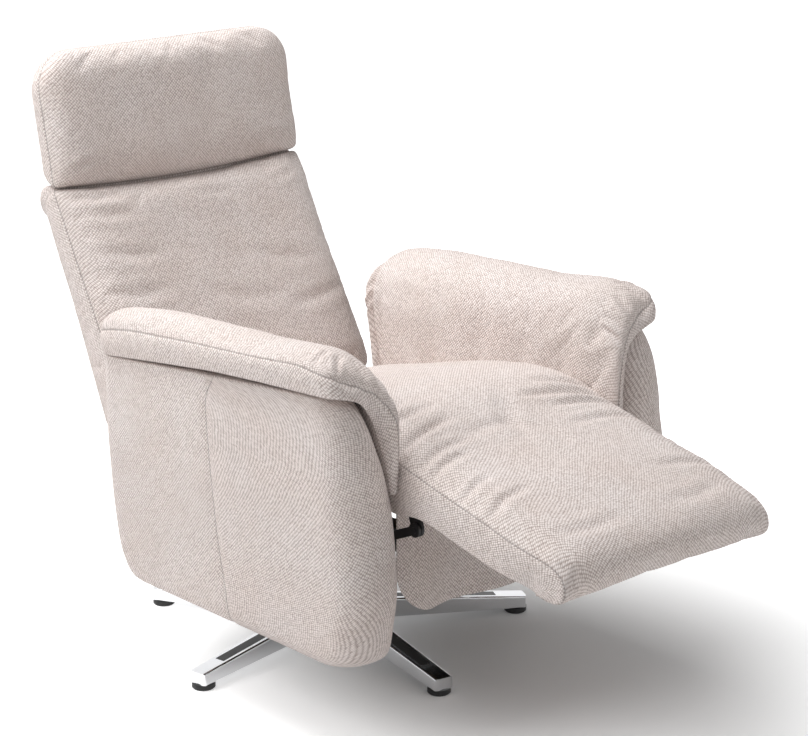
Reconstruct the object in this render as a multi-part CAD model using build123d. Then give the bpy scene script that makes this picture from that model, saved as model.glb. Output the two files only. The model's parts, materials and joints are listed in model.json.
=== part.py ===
from build123d import *
import math
import os

# Swivel recliner with a five-arm star base, a tilting headrest and a lifting footrest.
# Millimetres. The origin is on the floor under the swivel axis, +Z is up, the chair faces -Y
# and +X is the sitter's left. The rest position is half reclined with the footrest raised.

# General clearances
running_gap = 0.05
soft_gap = 0.3
overrun = 2.0
sheet_thickness = 5.0
pad_corner_share = 0.6
crease_share = 0.4
bolt_radius = 4.0
bolt_head_radius = 6.5
bolt_head_height = 5.0

# Star base
foot_count = 5
first_foot_heading = 45.2
foot_circle_radius = 345.0
glide_radius = 20.5
glide_height = 11.0
glide_edge = 2.5
glide_stem_radius = 4.0
glide_stem_height = 8.0
arm_end_overhang = 17.0
arm_end_width = 39.0
arm_root_width = 47.0
arm_end_top = 32.5
arm_root_top = 63.0
arm_end_depth = 21.5
arm_root_depth = 40.0
arm_side_draft = 3.0
arm_edge_radius = 3.5
arm_end_corner = 15.0
arm_top_wall = 6.0
channel_width = 24.0
channel_start = 70.0
channel_end = 318.0
inlay_width = 20.0
inlay_depth = 1.8
inlay_start = 62.0
inlay_end = 306.0
hub_radius = 38.0
hub_top_radius = 33.0
hub_floor = 24.0
hub_top = 79.0
hub_edge = 4.0

# Swivel
spindle_radius = 15.0
socket_radius = 17.0
column_radius = 25.0
column_top = 118.0
spindle_top = 181.0
washer_thickness = 3.0
housing_radius = 31.0
turntable_width = 250.0
turntable_depth = 290.0
turntable_corner = 24.0
turntable_top = 190.0
turntable_thickness = 6.0

# Cross tubes that carry both arms
tube_spacing = 220.0
tube_width = 40.0
tube_height = 30.0
tube_wall = 2.5
arm_gap = 500.0
flange_thickness = 6.0
flange_depth = 88.0
flange_height = 74.0
plate_bolt_spacing = 170.0

# Pivots in the side view: y and z, and the knee from the front end of the seat frame
knee_reach = 71.9
knee_rise = 8.1
back_pivot_y = 198.0
back_pivot_z = 335.0
crank_pivot_y = -170.0
crank_pivot_z = 322.0
strut_foot_y = -110.0
strut_foot_z = 252.0

# Lean of each part in the side view, in degrees
seat_lean = 10.4
back_lean = 29.3
head_lean = 11.6
legrest_lean = -12.0
armrest_lean = 5.1

# Recline mechanism
plate_inner_x = 206.0
layer_gap = 2.0
lug_radius = 22.0
plate_lower_z = 220.0
torque_tube_radius = 14.0
torque_tube_wall = 2.5
knee_rod_radius = 8.0
crank_length = 75.0
crank_heading = -112.0
crank_eye_radius = 12.0
crank_pin_radius = 5.0
link_width = 15.0
open_pivot_gap = 0.3
plate_front_hole = 17.0
plate_hole_share = 0.82
knee_neck_heading = -33.0
plate_mid_hole = 27.0

# Gas strut of the backrest
lever_length = 60.0
lever_heading = -65.0
lever_gap = 18.0
lever_thickness = 5.0
strut_pin_radius = 5.0
strut_eye_radius = 12.0
strut_eye_width = 15.0
strut_top_eye_radius = 15.0
strut_top_clearance = 3.6
cylinder_radius = 14.0
cylinder_bore = 11.0
cylinder_start = 17.0
cylinder_length = 178.0
piston_gap = 0.1
piston_length = 14.0
piston_place = 118.0
end_wall = 8.0
strut_rod_radius = 5.0

# Seat frame, measured along the leaning seat from its rear top edge
seat_rear_y = 163.0
seat_rear_z = 321.1
seat_frame_length = 542.7
rail_width = 40.0
rail_depth = 34.0
rail_end_inset = 6.0
webbing_width = 50.0
webbing_thickness = 2.0
seat_webbing_count = 6
back_webbing_count = 5

# Seat cushion and knee roll
cushion_edge = 11.0
half_station_shares = [0.35, 0.65, 0.85, 0.955, 0.98, 0.994, 1.0]
seat_middle_share = 0.45
seat_front_share = 0.9
seat_top_round_share = 0.88
seat_front_round_share = 0.37
seat_tail_reach = 13.0
seat_tail_height = 50.0
seat_width = 488.0
seat_rear_height = 80.0
seat_middle_height = 90.0
seat_front_height = 98.0
seat_crown = 28.0
knee_radius = 45.0
knee_half_depth = 46.0
knee_crown = 18.0
legrest_start_gap = 0.3

# Footrest
legrest_length = 386.0
legrest_tip_top = 29.0
legrest_low = -26.0
legrest_middle_top = 39.0
legrest_crown = 24.0
legrest_tip_crown = 10.0
legrest_top_radius = 220.0
tip_round_share = 0.46
legrest_board_thickness = 12.0
legrest_recess = 14.0
legrest_board_start = 56.0
legrest_board_end = 352.0
legrest_bracket_end = 300.0
legrest_bracket_depth = 12.0

# Apron under the seat front
apron_width = 380.0
apron_gap = 5.3
apron_lap = 6.4
apron_height = 208.0
apron_thickness = 3.0
apron_corner = 74.0
apron_fold_count = 5
apron_fold_depth = 9.0
apron_top_fold_share = 0.2

# Arms
armrest_width = 120.0
armrest_rear_y = 198.0
armrest_deck_z = 568.0
armrest_bottom_z = 152.0
armrest_nose_radius = 55.0
armrest_length = 690.0
armrest_station_shares = [
    (0.000, 0.085, 0.880, 0.183),
    (0.020, 0.050, 0.915, 0.058),
    (0.055, 0.025, 0.935, 0.000),
    (0.160, 0.008, 0.960, 0.000),
    (0.400, 0.000, 0.975, 0.000),
    (0.640, 0.016, 0.990, 0.000),
    (0.860, 0.040, 1.000, 0.000),
    (1.140, 0.060, 1.000, 0.000),
]
pad_overhang = 5.0
pad_length_share = 0.968
pad_rear = 202.0
pad_height = 78.0
pad_nose_radius = 60.0
pad_end_share = 1.5
pad_layer_shares = [
    (0.00, 0.085),
    (0.08, 0.012),
    (0.28, 0.000),
    (0.55, 0.000),
    (0.70, 0.035),
    (0.82, 0.095),
    (0.91, 0.180),
    (0.97, 0.290),
    (1.00, 0.440),
]

# Backrest, measured from the back pivot: up along the back and forward from it
back_width = 562.0
back_cushion_low = 58.0
back_cushion_high = 508.0
back_seam_depth = 7.0
back_crown = 33.0
back_low_corner = 34.0
back_high_corner = 14.0
stile_front = -20.0
stile_depth = 14.0
stile_low = 62.0
stile_high = 488.0
stile_rail_height = 50.0
back_rear_lean = 4.0
back_rear_top_depth = 2.0
back_rear_bulge = 9.0
back_bracket_high = 210.0
headrest_pivot_up = 500.0
back_side_shares = [(0.0, 0.09), (0.5, 0.0), (1.0, 0.02)]
back_crown_shares = [
    (0.22, 0.10),
    (0.45, 0.28),
    (0.65, 0.58),
    (0.80, 1.00),
    (0.91, 1.60),
    (0.98, 2.50),
    (1.00, 3.60),
]
back_rear_shares = [(0.0, 0.08), (0.5, 0.6), (1.0, 2.5)]

# Headrest, measured from its own pivot
headrest_rod_radius = 4.0
headrest_rod_overhang = 14.0
headrest_low = 27.0
headrest_high = 271.0
headrest_seam_depth = 33.0
headrest_top_corner = 74.0
headrest_low_corner = 20.0
headrest_crown = 32.0
headrest_board_rear = 10.0
headrest_board_front = 20.0
headrest_rear_depth = -9.0
headrest_board_low = 24.0
hinge_strap_width = 8.0
hinge_strap_spacing = 240.0
hinge_strap_high = 84.0
hinge_lug_reach = 14.0
hinge_pocket_radius = 42.0
hinge_roll_radius = 24.0
headrest_side_shares = [(0.0, 0.18), (0.5, 0.04), (1.0, 0.0)]
headrest_crown_shares = [
    (0.24, 0.08),
    (0.48, 0.25),
    (0.68, 0.50),
    (0.84, 0.90),
    (0.95, 1.45),
    (1.00, 2.30),
]
headrest_rear_shares = [(0.0, 4.0), (0.35, 1.5), (1.0, 1.0)]


def tilted(y, z, lean, x=0.0):
    """Side-view plane at one x: its x axis points forward and leans up, its y axis points up."""
    turn = math.radians(lean)
    return Plane(origin=(x, y, z), x_dir=(0, -math.cos(turn), math.sin(turn)), z_dir=(-1, 0, 0))


def front_plane(y, z, lean):
    """Plane seen from the front: its y axis climbs the leaning face, its normal faces forward."""
    turn = math.radians(lean)
    return Plane(origin=(0, y, z), x_dir=(1, 0, 0), z_dir=(0, -math.cos(turn), math.sin(turn)))


def deck_plane(x, y, z, lean):
    """Plane seen from above: its normal points up square to a deck that rises forward."""
    turn = math.radians(lean)
    return Plane(origin=(x, y, z), x_dir=(1, 0, 0), z_dir=(0, math.sin(turn), math.cos(turn)))


def side_view(x=0.0):
    """Upright side-view plane with y and z as its own axes, facing +X."""
    return Plane(origin=(x, 0, 0), x_dir=(0, 1, 0), z_dir=(1, 0, 0))


def outline(points, radii):
    """Closed outline of straight runs whose corners are tangent arcs."""
    return make_face(FilletPolyline(*points, radius=radii, close=True))


def polar(y, z, length, heading):
    """Point at a length and heading from a side-view point, the heading turning from +Y to +Z."""
    turn = math.radians(heading)
    return (y + length * math.cos(turn), z + length * math.sin(turn))


def cross_cylinder(y, z, radius, half_length, x=0.0):
    """Cylinder along X through a side-view point."""
    return extrude(side_view(x) * Pos(y, z) * Circle(radius), amount=half_length, both=True)


def slab(profile, low_x, high_x):
    """Side-view profile drawn at x = 0, made a plate from one x to the other."""
    return Pos(low_x, 0, 0) * extrude(side_view() * profile, amount=high_x - low_x)


def link_profile(start, end, width, start_radius, end_radius):
    """Flat link: two round eyes joined by a straight bar."""
    run = Vector(*end) - Vector(*start)
    heading = math.degrees(math.atan2(run.Y, run.X))
    middle = (Vector(*start) + Vector(*end)) / 2
    bar = Pos(middle.X, middle.Y) * Rot(0, 0, heading) * Rectangle(run.length, width)
    return bar + Pos(*start) * Circle(start_radius) + Pos(*end) * Circle(end_radius)


def pad(plane, low_x, high_x, low_y, high_y, corners, layers, low_share=1.0, high_share=1.0):
    """Padded form: one rounded outline stacked along the plane's normal.

    Each layer is a height and an inset; the corners are the radii at the low and high ends,
    and the shares tell how much of the inset each end takes.
    """
    sections = []
    for height, inset in layers:
        left, right = low_x + inset, high_x - inset
        low, high = low_y + inset * low_share, high_y - inset * high_share
        sections.append(plane.offset(height) * pad_outline(left, right, low, high, corners, inset))
    return loft(sections, ruled=True)


def pad_outline(left, right, low, high, corners, inset):
    """Rounded outline whose corners follow the inset, so that they always fit inside it."""
    low_radius, high_radius = (
        max(corner - inset * pad_corner_share, inset * pad_corner_share) for corner in corners
    )
    points = [(left, low), (right, low), (right, high), (left, high)]
    return outline(points, [low_radius, low_radius, high_radius, high_radius])


def both_sides(piece):
    """The piece on the +X side and its mirror image on the -X side."""
    return piece, mirror(piece, about=Plane.YZ)


def seat_line(forward, up):
    """World side-view point of a place on the leaning seat frame."""
    turn = math.radians(seat_lean)
    y = seat_rear_y - forward * math.cos(turn) + up * math.sin(turn)
    z = seat_rear_z + forward * math.sin(turn) + up * math.cos(turn)
    return (y, z)


# Side-view points that several pieces share
knee = seat_line(seat_frame_length + knee_reach, knee_rise)
back_pivot = (back_pivot_y, back_pivot_z)
crank_pivot = (crank_pivot_y, crank_pivot_z)
strut_foot = (strut_foot_y, strut_foot_z)
knee_lug = polar(knee[0], knee[1], crank_length, crank_heading)
crank_end = polar(crank_pivot_y, crank_pivot_z, crank_length, crank_heading)
lever_end = polar(back_pivot_y, back_pivot_z, lever_length, lever_heading)
strut_run = Vector(*lever_end) - Vector(*strut_foot)
strut_length = strut_run.length
strut_rise = math.degrees(math.atan2(strut_run.Y, strut_run.X))
headrest_pivot_depth = stile_front - stile_depth / 2
hinge_eye_radius = stile_depth / 2
hinge_lug_x = hinge_strap_spacing / 2 + hinge_lug_reach
headrest_rod_half_length = hinge_lug_x + hinge_strap_width / 2 + headrest_rod_overhang
back_turn = math.radians(back_lean)
headrest_pivot = (
    back_pivot_y + headrest_pivot_up * math.sin(back_turn) - headrest_pivot_depth * math.cos(back_turn),
    back_pivot_z + headrest_pivot_up * math.cos(back_turn) + headrest_pivot_depth * math.sin(back_turn),
)

# Layers of the mechanism across the chair: side plate, then bracket or crank, then push bar
plate_outer_x = plate_inner_x + sheet_thickness
bracket_inner_x = plate_outer_x + layer_gap
bracket_outer_x = bracket_inner_x + sheet_thickness
bar_inner_x = bracket_outer_x + layer_gap
bar_outer_x = bar_inner_x + sheet_thickness
pin_outer_x = bar_outer_x + layer_gap / 2


# Star base: one casting of a hub and five tapering arms with a channel underneath

def arm_section(radius, width, top, depth):
    low = top - depth
    half = width / 2
    points = [
        (-half, low),
        (half, low),
        (half - arm_side_draft, top),
        (-half + arm_side_draft, top),
    ]
    plane = Plane(origin=(radius, 0, 0), x_dir=(0, 1, 0), z_dir=(1, 0, 0))
    return plane * outline(points, [arm_edge_radius / 2] * 2 + [arm_edge_radius] * 2)


def star_arm():
    reach = foot_circle_radius + arm_end_overhang
    root = socket_radius + overrun
    body = loft(
        [
            arm_section(root, arm_root_width, arm_root_top, arm_root_depth),
            arm_section(reach, arm_end_width, arm_end_top, arm_end_depth),
        ],
        ruled=True,
    )
    half = arm_end_width / 2 + arm_side_draft
    plan = [(0, -arm_root_width), (reach, -half), (reach, half), (0, arm_root_width)]
    body &= extrude(outline(plan, [0, arm_end_corner, arm_end_corner, 0]), amount=arm_root_top)
    fall = math.atan2(arm_root_top - arm_end_top, reach - root)
    top = Pos(0, 0, arm_root_top + root * math.tan(fall)) * Rot(0, math.degrees(fall), 0)
    groove_length = inlay_end - inlay_start
    groove = Pos((inlay_start + inlay_end) / 2, 0, 0) * Box(groove_length, inlay_width, 2 * inlay_depth)
    body -= top * groove
    channel_length = channel_end - channel_start
    channel_top = Pos((channel_start + channel_end) / 2, 0, -arm_top_wall - arm_root_depth)
    body -= top * channel_top * Box(channel_length, channel_width, 2 * arm_root_depth)
    strip_place = Pos((inlay_start + inlay_end) / 2, 0, -inlay_depth / 2)
    strip = top * strip_place * Box(groove_length, inlay_width, inlay_depth)
    return body, strip


def foot_place():
    return Pos(foot_circle_radius, 0, 0)


def foot_glide():
    pad_body = Pos(0, 0, glide_height / 2) * Cylinder(glide_radius, glide_height)
    pad_body = chamfer(pad_body.edges().group_by(Axis.Z)[0], glide_edge)
    stem = Pos(0, 0, glide_height + glide_stem_height / 2) * Cylinder(glide_stem_radius, glide_stem_height)
    return foot_place() * (pad_body + stem)


def star_base(arms):
    hub_profile = [
        (socket_radius, hub_floor),
        (hub_radius, hub_floor),
        (hub_radius, arm_root_top),
        (hub_top_radius, hub_top),
        (socket_radius, hub_top),
    ]
    hub = revolve(Plane.XZ * outline(hub_profile, [0, hub_edge, hub_edge, hub_edge, 0]), Axis.Z)
    body = hub
    for arm in arms:
        body += arm
    body -= Pos(0, 0, (hub_floor + hub_top) / 2) * Cylinder(socket_radius, hub_top)
    return body


# Swivel: a column in the hub, a thrust washer and the turntable that turns on it

def swivel_post():
    low = hub_floor + hub_edge
    post = Pos(0, 0, (low + hub_top) / 2) * Cylinder(socket_radius, hub_top - low)
    post += Pos(0, 0, (hub_top + column_top) / 2) * Cylinder(column_radius, column_top - hub_top)
    post += Pos(0, 0, (column_top + spindle_top) / 2) * Cylinder(spindle_radius, spindle_top - column_top)
    return chamfer(post.edges().group_by(Axis.Z)[-1], overrun)


def thrust_washer():
    ring = Cylinder(column_radius, washer_thickness) - Cylinder(spindle_radius + soft_gap, washer_thickness)
    return Pos(0, 0, column_top + washer_thickness / 2) * ring


def turntable():
    low = column_top + washer_thickness + running_gap
    plate_low = turntable_top - turntable_thickness
    barrel = Pos(0, 0, (low + plate_low) / 2) * Cylinder(housing_radius, plate_low - low)
    rim = RectangleRounded(turntable_width, turntable_depth, turntable_corner)
    plate = Pos(0, 0, plate_low) * extrude(rim, amount=turntable_thickness)
    body = barrel + plate
    body -= Pos(0, 0, (low + plate_low) / 2) * Cylinder(spindle_radius + running_gap, plate_low - low)
    return body - plate_bolt_holes()


def plate_bolt_places():
    return GridLocations(plate_bolt_spacing, tube_spacing, 2, 2)


def plate_bolt_holes():
    low = turntable_top - turntable_thickness - overrun
    length = turntable_thickness + tube_wall + 2 * overrun
    hole = Pos(0, 0, low + length / 2) * Cylinder(bolt_radius, length)
    return Part() + [place * hole for place in plate_bolt_places()]


def plate_bolts():
    low = turntable_top - turntable_thickness
    length = turntable_thickness + tube_wall
    shank = Pos(0, 0, low + length / 2) * Cylinder(bolt_radius, length)
    head = Pos(0, 0, low - bolt_head_height / 2) * extrude(
        RegularPolygon(bolt_head_radius, 6), amount=bolt_head_height / 2, both=True
    )
    bolt = shank + head
    return Compound([place * bolt for place in plate_bolt_places()])


# Cross tubes with a flange at each end that bolts to an arm

def cross_tube(y):
    middle_z = turntable_top + tube_height / 2
    length = arm_gap - 2 * flange_thickness
    tube = Box(length, tube_width, tube_height)
    tube -= Box(length, tube_width - 2 * tube_wall, tube_height - 2 * tube_wall)
    flange = Box(flange_thickness, flange_depth, flange_height)
    flange_x = (arm_gap - flange_thickness) / 2
    flange_rise = (flange_height - tube_height) / 2
    tube = Pos(0, y, middle_z) * tube
    for side in (-1, 1):
        tube += Pos(side * flange_x, y, middle_z + flange_rise) * flange
    return tube - plate_bolt_holes()


def strut_clevis():
    """Two ears on the front cross tube that hold the strut's lower pin."""
    low = turntable_top + tube_height
    half_gap = lever_gap / 2
    ear = Pos(strut_foot_y, strut_foot_z) * Circle(strut_eye_radius)
    height = strut_foot_z - low
    ear += Pos(strut_foot_y, low + height / 2) * Rectangle(2 * strut_eye_radius, height)
    ears = slab(ear, half_gap, half_gap + lever_thickness)
    ears += mirror(ears, about=Plane.YZ)
    return ears + cross_cylinder(strut_foot_y, strut_foot_z, strut_pin_radius, half_gap + lever_thickness)


# Side plates of the mechanism

def side_plate_profile():
    half_base = (tube_spacing + tube_width) / 2
    front_top = seat_line(seat_frame_length + rail_end_inset, -soft_gap)
    rear_top = seat_line(rail_end_inset, -soft_gap)
    neck_end = polar(knee[0], knee[1], 4 * lug_radius, knee_neck_heading)
    points = [
        front_top,
        rear_top,
        (back_pivot_y, back_pivot_z),
        (back_pivot_y, back_pivot_z - lug_radius),
        (half_base, plate_lower_z),
        (-half_base, plate_lower_z),
        (crank_pivot_y - 2 * lug_radius, crank_pivot_z - 2 * lug_radius),
        (front_top[0] + lug_radius / 2, front_top[1] - lug_radius),
    ]
    body = outline(points, [0, 0, 0, 0, lug_radius / 2, lug_radius / 2, lug_radius, lug_radius / 2])
    body += Pos(*back_pivot) * Circle(lug_radius)
    body += Pos(*knee) * Circle(lug_radius)
    return body + link_profile(knee, neck_end, link_width, lug_radius / 2, lug_radius / 2)


def side_plate():
    profile = side_plate_profile()
    profile -= Pos(*knee) * Circle(knee_rod_radius)
    profile -= Pos(*back_pivot) * Circle(torque_tube_radius + running_gap)
    profile -= Pos(*crank_pivot) * Circle(torque_tube_radius + running_gap)
    mid_z = (plate_lower_z + seat_rear_z) / 2
    for y in (-tube_width, tube_width):
        profile -= Pos(y, mid_z) * Circle(plate_mid_hole)
    front_hole = seat_line(seat_frame_length * plate_hole_share, -2 * plate_front_hole)
    profile -= Pos(*front_hole) * Circle(plate_front_hole)
    return slab(profile, plate_inner_x, plate_outer_x)


# Seat frame: four timber rails, cross webbing on top

def seat_rail_box(low_x, high_x, start, end):
    plane = seat_plane(high_x)
    middle = ((start + end) / 2, -rail_depth / 2)
    return extrude(plane * Pos(*middle) * Rectangle(end - start, rail_depth), amount=high_x - low_x)


def seat_side_rail():
    return seat_rail_box(plate_inner_x - rail_width, plate_inner_x, rail_end_inset, seat_frame_length)


def seat_cross_rail(start):
    half = plate_inner_x - rail_width
    return seat_rail_box(-half, half, start, start + rail_width)


def webbing(plane, width, height, places, half_width):
    """Flat bands across a frame, one at each place of the side-view plane."""
    band = Rectangle(width, height)
    return Compound([extrude(plane * Pos(*place) * band, amount=2 * half_width) for place in places])


def seat_webbing():
    step = (seat_frame_length - 2 * rail_width) / (seat_webbing_count + 1)
    rise = webbing_thickness / 2
    places = [(rail_width + step * (index + 1), rise) for index in range(seat_webbing_count)]
    return webbing(seat_plane(plate_inner_x), webbing_width, webbing_thickness, places, plate_inner_x)


def back_webbing():
    step = (stile_high - stile_low) / (back_webbing_count + 1)
    depth = stile_front + webbing_thickness / 2
    places = [(depth, stile_low + step * (index + 1)) for index in range(back_webbing_count)]
    plane = back_side_plane(bracket_outer_x)
    return webbing(plane, webbing_thickness, webbing_width, places, bracket_outer_x)


def seat_plane(x):
    return tilted(seat_rear_y, seat_rear_z, seat_lean, x)


def back_side_plane(x):
    return tilted(back_pivot_y, back_pivot_z, back_lean, x)


# Seat cushion: side-view sections carried across the seat, lower and drawn in at the sides

def crown_stations(half_width, edge):
    """Places across a cushion, each with its edge inset and its share of the crown.

    The inset follows a quarter circle of the edge radius, the crown a parabola.
    """
    mirrored = [-share for share in reversed(half_station_shares)]
    stations = []
    for share in mirrored + [0] + half_station_shares:
        x = share * half_width
        near = max(0.0, edge - (half_width - abs(x)))
        inset = edge - math.sqrt(edge * edge - near * near)
        stations.append((x, inset, 1 - share * share))
    return stations


def seat_cushion():
    knee_up = math.radians(legrest_lean)
    sections = []
    for x, inset, crown in crown_stations(seat_width / 2, cushion_edge):
        rise = crown * seat_crown - inset
        knee_height = knee_half_depth + crown * knee_crown - inset
        knee_top = (
            knee[0] + knee_height * math.sin(knee_up),
            knee[1] + knee_height * math.cos(knee_up),
        )
        points = [
            seat_line(rail_end_inset, webbing_thickness),
            seat_line(-seat_tail_reach, seat_tail_height),
            seat_line(rail_end_inset, seat_rear_height + rise / 2),
            seat_line(seat_frame_length * seat_middle_share, seat_middle_height + rise),
            seat_line(seat_frame_length * seat_front_share, seat_front_height + rise),
            knee_top,
            knee,
            seat_line(seat_frame_length + rail_width - rail_end_inset, webbing_thickness),
        ]
        rear_radii = [cushion_edge, 2 * cushion_edge, 2 * cushion_edge]
        top_radii = [seat_frame_length * seat_top_round_share, seat_frame_length * seat_front_round_share]
        sections.append(side_view(x) * outline(points, rear_radii + top_radii + [0, 0, 0]))
    body = loft(sections, ruled=True)
    return body - cross_cylinder(*knee, knee_radius + soft_gap, seat_width)


def knee_roll():
    half = plate_inner_x - layer_gap
    body = cross_cylinder(*knee, knee_radius, half)
    body = fillet(body.edges().filter_by(GeomType.CIRCLE), cushion_edge / 2)
    return body - cross_cylinder(*knee, knee_rod_radius + running_gap, half)


def knee_rod():
    return cross_cylinder(*knee, knee_rod_radius, bracket_outer_x + layer_gap)


# Footrest

def legrest_plane(x):
    return tilted(knee[0], knee[1], legrest_lean, x)


def legrest_cushion():
    sections = []
    for x, inset, crown in crown_stations(seat_width / 2, cushion_edge):
        rise = crown * legrest_crown - inset
        tip = legrest_length - 2 * inset
        start = legrest_start_gap
        tip_top = legrest_tip_top + crown * legrest_tip_crown - inset
        tip_low = legrest_low + inset / 2
        tip_radius = (tip_top - tip_low) * tip_round_share
        points = [
            (start, knee_half_depth + crown * knee_crown - inset),
            (legrest_length / 2, legrest_middle_top + rise),
            (tip, tip_top),
            (tip, tip_low),
            (legrest_board_start, legrest_low),
            (knee_radius, legrest_low),
        ]
        radii = [0, legrest_top_radius, tip_radius, tip_radius, 0, 0]
        sections.append(legrest_plane(x) * outline(points, radii))
    body = loft(sections, ruled=True) - legrest_board_recess()
    return body - cross_cylinder(*knee, knee_radius + 2 * soft_gap, seat_width)


def legrest_board_recess():
    """Room in the underside of the footrest cushion for the board and the brackets beside it."""
    half = bracket_outer_x + soft_gap
    middle = (legrest_board_end / 2, legrest_low + legrest_recess / 2 - overrun / 2)
    shape = Rectangle(legrest_board_end + 2 * soft_gap, legrest_recess + overrun)
    return extrude(legrest_plane(half) * Pos(*middle) * shape, amount=2 * half)


def legrest_board():
    half = bracket_inner_x
    middle_height = legrest_low + legrest_recess - legrest_board_thickness / 2
    middle = ((legrest_board_start + legrest_board_end) / 2, middle_height)
    length = legrest_board_end - legrest_board_start
    board = legrest_plane(half) * Pos(*middle) * Rectangle(length, legrest_board_thickness)
    return extrude(board, amount=2 * half)


def legrest_bracket():
    plane = legrest_plane(bracket_outer_x)
    to_plane = plane.to_local_coords(Vector(bracket_outer_x, *knee_lug))
    lug = (to_plane.X, to_plane.Y)
    strip_top = legrest_low + legrest_recess
    strip_low = strip_top - legrest_bracket_depth
    strip = outline(
        [
            (lug_radius / 2, strip_top),
            (legrest_bracket_end, strip_top),
            (legrest_bracket_end, strip_low),
            (lug_radius, strip_low),
        ],
        [0, layer_gap, layer_gap, 0],
    )
    profile = strip + Circle(lug_radius)
    profile += link_profile((0, 0), lug, link_width + lug_radius / 2, lug_radius, crank_eye_radius)
    profile -= Circle(knee_rod_radius + running_gap)
    bracket = extrude(plane * profile, amount=sheet_thickness)
    pin = Pos(bracket_outer_x, 0, 0) * cross_pin(knee_lug)
    return bracket + pin


def cross_pin(point):
    """Short pin that stands outwards from x = 0 through the push bar's layer."""
    length = pin_outer_x - bracket_outer_x
    return extrude(side_view() * Pos(*point) * Circle(crank_pin_radius), amount=length)


# Footrest drive: a torque tube with a crank at each end and a push bar to each bracket

def leg_torque_tube():
    tube = cross_cylinder(*crank_pivot, torque_tube_radius, bracket_inner_x)
    return tube - cross_cylinder(*crank_pivot, torque_tube_radius - torque_tube_wall, bracket_inner_x)


def leg_crank():
    profile = link_profile(crank_pivot, crank_end, link_width, lug_radius, crank_eye_radius)
    crank = slab(profile, bracket_inner_x, bracket_outer_x)
    return crank + Pos(bracket_outer_x, 0, 0) * cross_pin(crank_end)


def push_bar():
    profile = link_profile(knee_lug, crank_end, link_width, crank_eye_radius, crank_eye_radius)
    profile -= Pos(*knee_lug) * Circle(crank_pin_radius + open_pivot_gap)
    profile -= Pos(*crank_end) * Circle(crank_pin_radius + running_gap)
    return slab(profile, bar_inner_x, bar_outer_x)


# Back drive: a torque tube with a centre lever, and a gas strut between lever and front tube

def back_torque_tube():
    tube = cross_cylinder(*back_pivot, torque_tube_radius, bracket_inner_x)
    tube -= cross_cylinder(*back_pivot, torque_tube_radius - torque_tube_wall, bracket_inner_x)
    profile = link_profile(back_pivot, lever_end, link_width, lug_radius, crank_eye_radius)
    profile -= Pos(*back_pivot) * Circle(torque_tube_radius - torque_tube_wall)
    half_gap = lever_gap / 2
    cheek = slab(profile, half_gap, half_gap + lever_thickness)
    pin = cross_cylinder(*lever_end, strut_pin_radius, half_gap + lever_thickness)
    return tube + cheek + mirror(cheek, about=Plane.YZ) + pin


def strut_place():
    """Frame at the strut's lower pin whose X axis runs along the strut."""
    turn = math.radians(strut_rise)
    along = (0, math.cos(turn), math.sin(turn))
    return Plane(origin=(0, *strut_foot), x_dir=along, z_dir=(1, 0, 0))


def along_strut(radius, start, end):
    plane = strut_place()
    base = Plane(origin=plane.from_local_coords((start, 0, 0)), z_dir=plane.x_dir)
    return extrude(base * Circle(radius), amount=end - start)


def strut_eye(distance, radius):
    return extrude(strut_place() * Pos(distance, 0) * Circle(radius), amount=strut_eye_width / 2, both=True)


def strut_cylinder():
    end = cylinder_start + cylinder_length
    body = along_strut(cylinder_radius, cylinder_start, end) + strut_eye(0, strut_eye_radius)
    body += along_strut(strut_eye_width / 2, strut_eye_radius / 2, cylinder_start)
    body -= along_strut(cylinder_bore, cylinder_start + 2 * end_wall, end - end_wall)
    body -= along_strut(strut_rod_radius + running_gap, end - 2 * end_wall, end + overrun)
    return body - strut_eye(0, strut_pin_radius + running_gap)


def strut_rod():
    rod = along_strut(strut_rod_radius, piston_place, strut_length)
    rod += along_strut(cylinder_bore - piston_gap, piston_place, piston_place + piston_length)
    rod += strut_eye(strut_length, strut_top_eye_radius)
    return rod - strut_eye(strut_length, strut_pin_radius + strut_top_clearance)


# Apron: cloth that hangs from the front rail in shallow folds

def wave_outline(plane, depth):
    """Closed outline of a folded strip of cloth: arcs to and fro, then back one thickness behind."""
    half = apron_width / 2
    step = apron_width / apron_fold_count
    front = []
    rear = []
    for index in range(apron_fold_count):
        start = -half + index * step
        swing = depth if index % 2 == 0 else -depth
        front.append(ThreePointArc((start, 0), (start + step / 2, swing), (start + step, 0)))
        rear.append(
            ThreePointArc(
                (start, apron_thickness),
                (start + step / 2, swing + apron_thickness),
                (start + step, apron_thickness),
            )
        )
    ends = [
        Line((-half, 0), (-half, apron_thickness)),
        Line((half, 0), (half, apron_thickness)),
    ]
    return plane * make_face(Curve() + front + rear + ends)


def apron():
    rail_y, rail_z = seat_line(seat_frame_length, -rail_depth)
    apron_y = rail_y - apron_gap
    apron_top = rail_z + apron_lap
    apron_hem = apron_top - apron_height
    top = Plane(origin=(0, apron_y, apron_top), x_dir=(1, 0, 0), z_dir=(0, 0, 1))
    low = Plane(origin=(0, apron_y, apron_hem - overrun), x_dir=(1, 0, 0), z_dir=(0, 0, 1))
    cloth = loft(
        [
            wave_outline(low, apron_fold_depth),
            wave_outline(top, apron_fold_depth * apron_top_fold_share),
        ],
        ruled=True,
    )
    half = apron_width / 2
    shape = outline(
        [(-half, apron_hem), (half, apron_hem), (half, apron_top), (-half, apron_top)],
        [apron_corner, apron_corner, 0, 0],
    )
    front = Plane(origin=(0, apron_y, 0), x_dir=(1, 0, 0), z_dir=(0, -1, 0))
    return cloth & extrude(front * shape, amount=2 * apron_corner, both=True)


# Arms: an upholstered side with rounded ends, and a pad that rolls over its top

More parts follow.
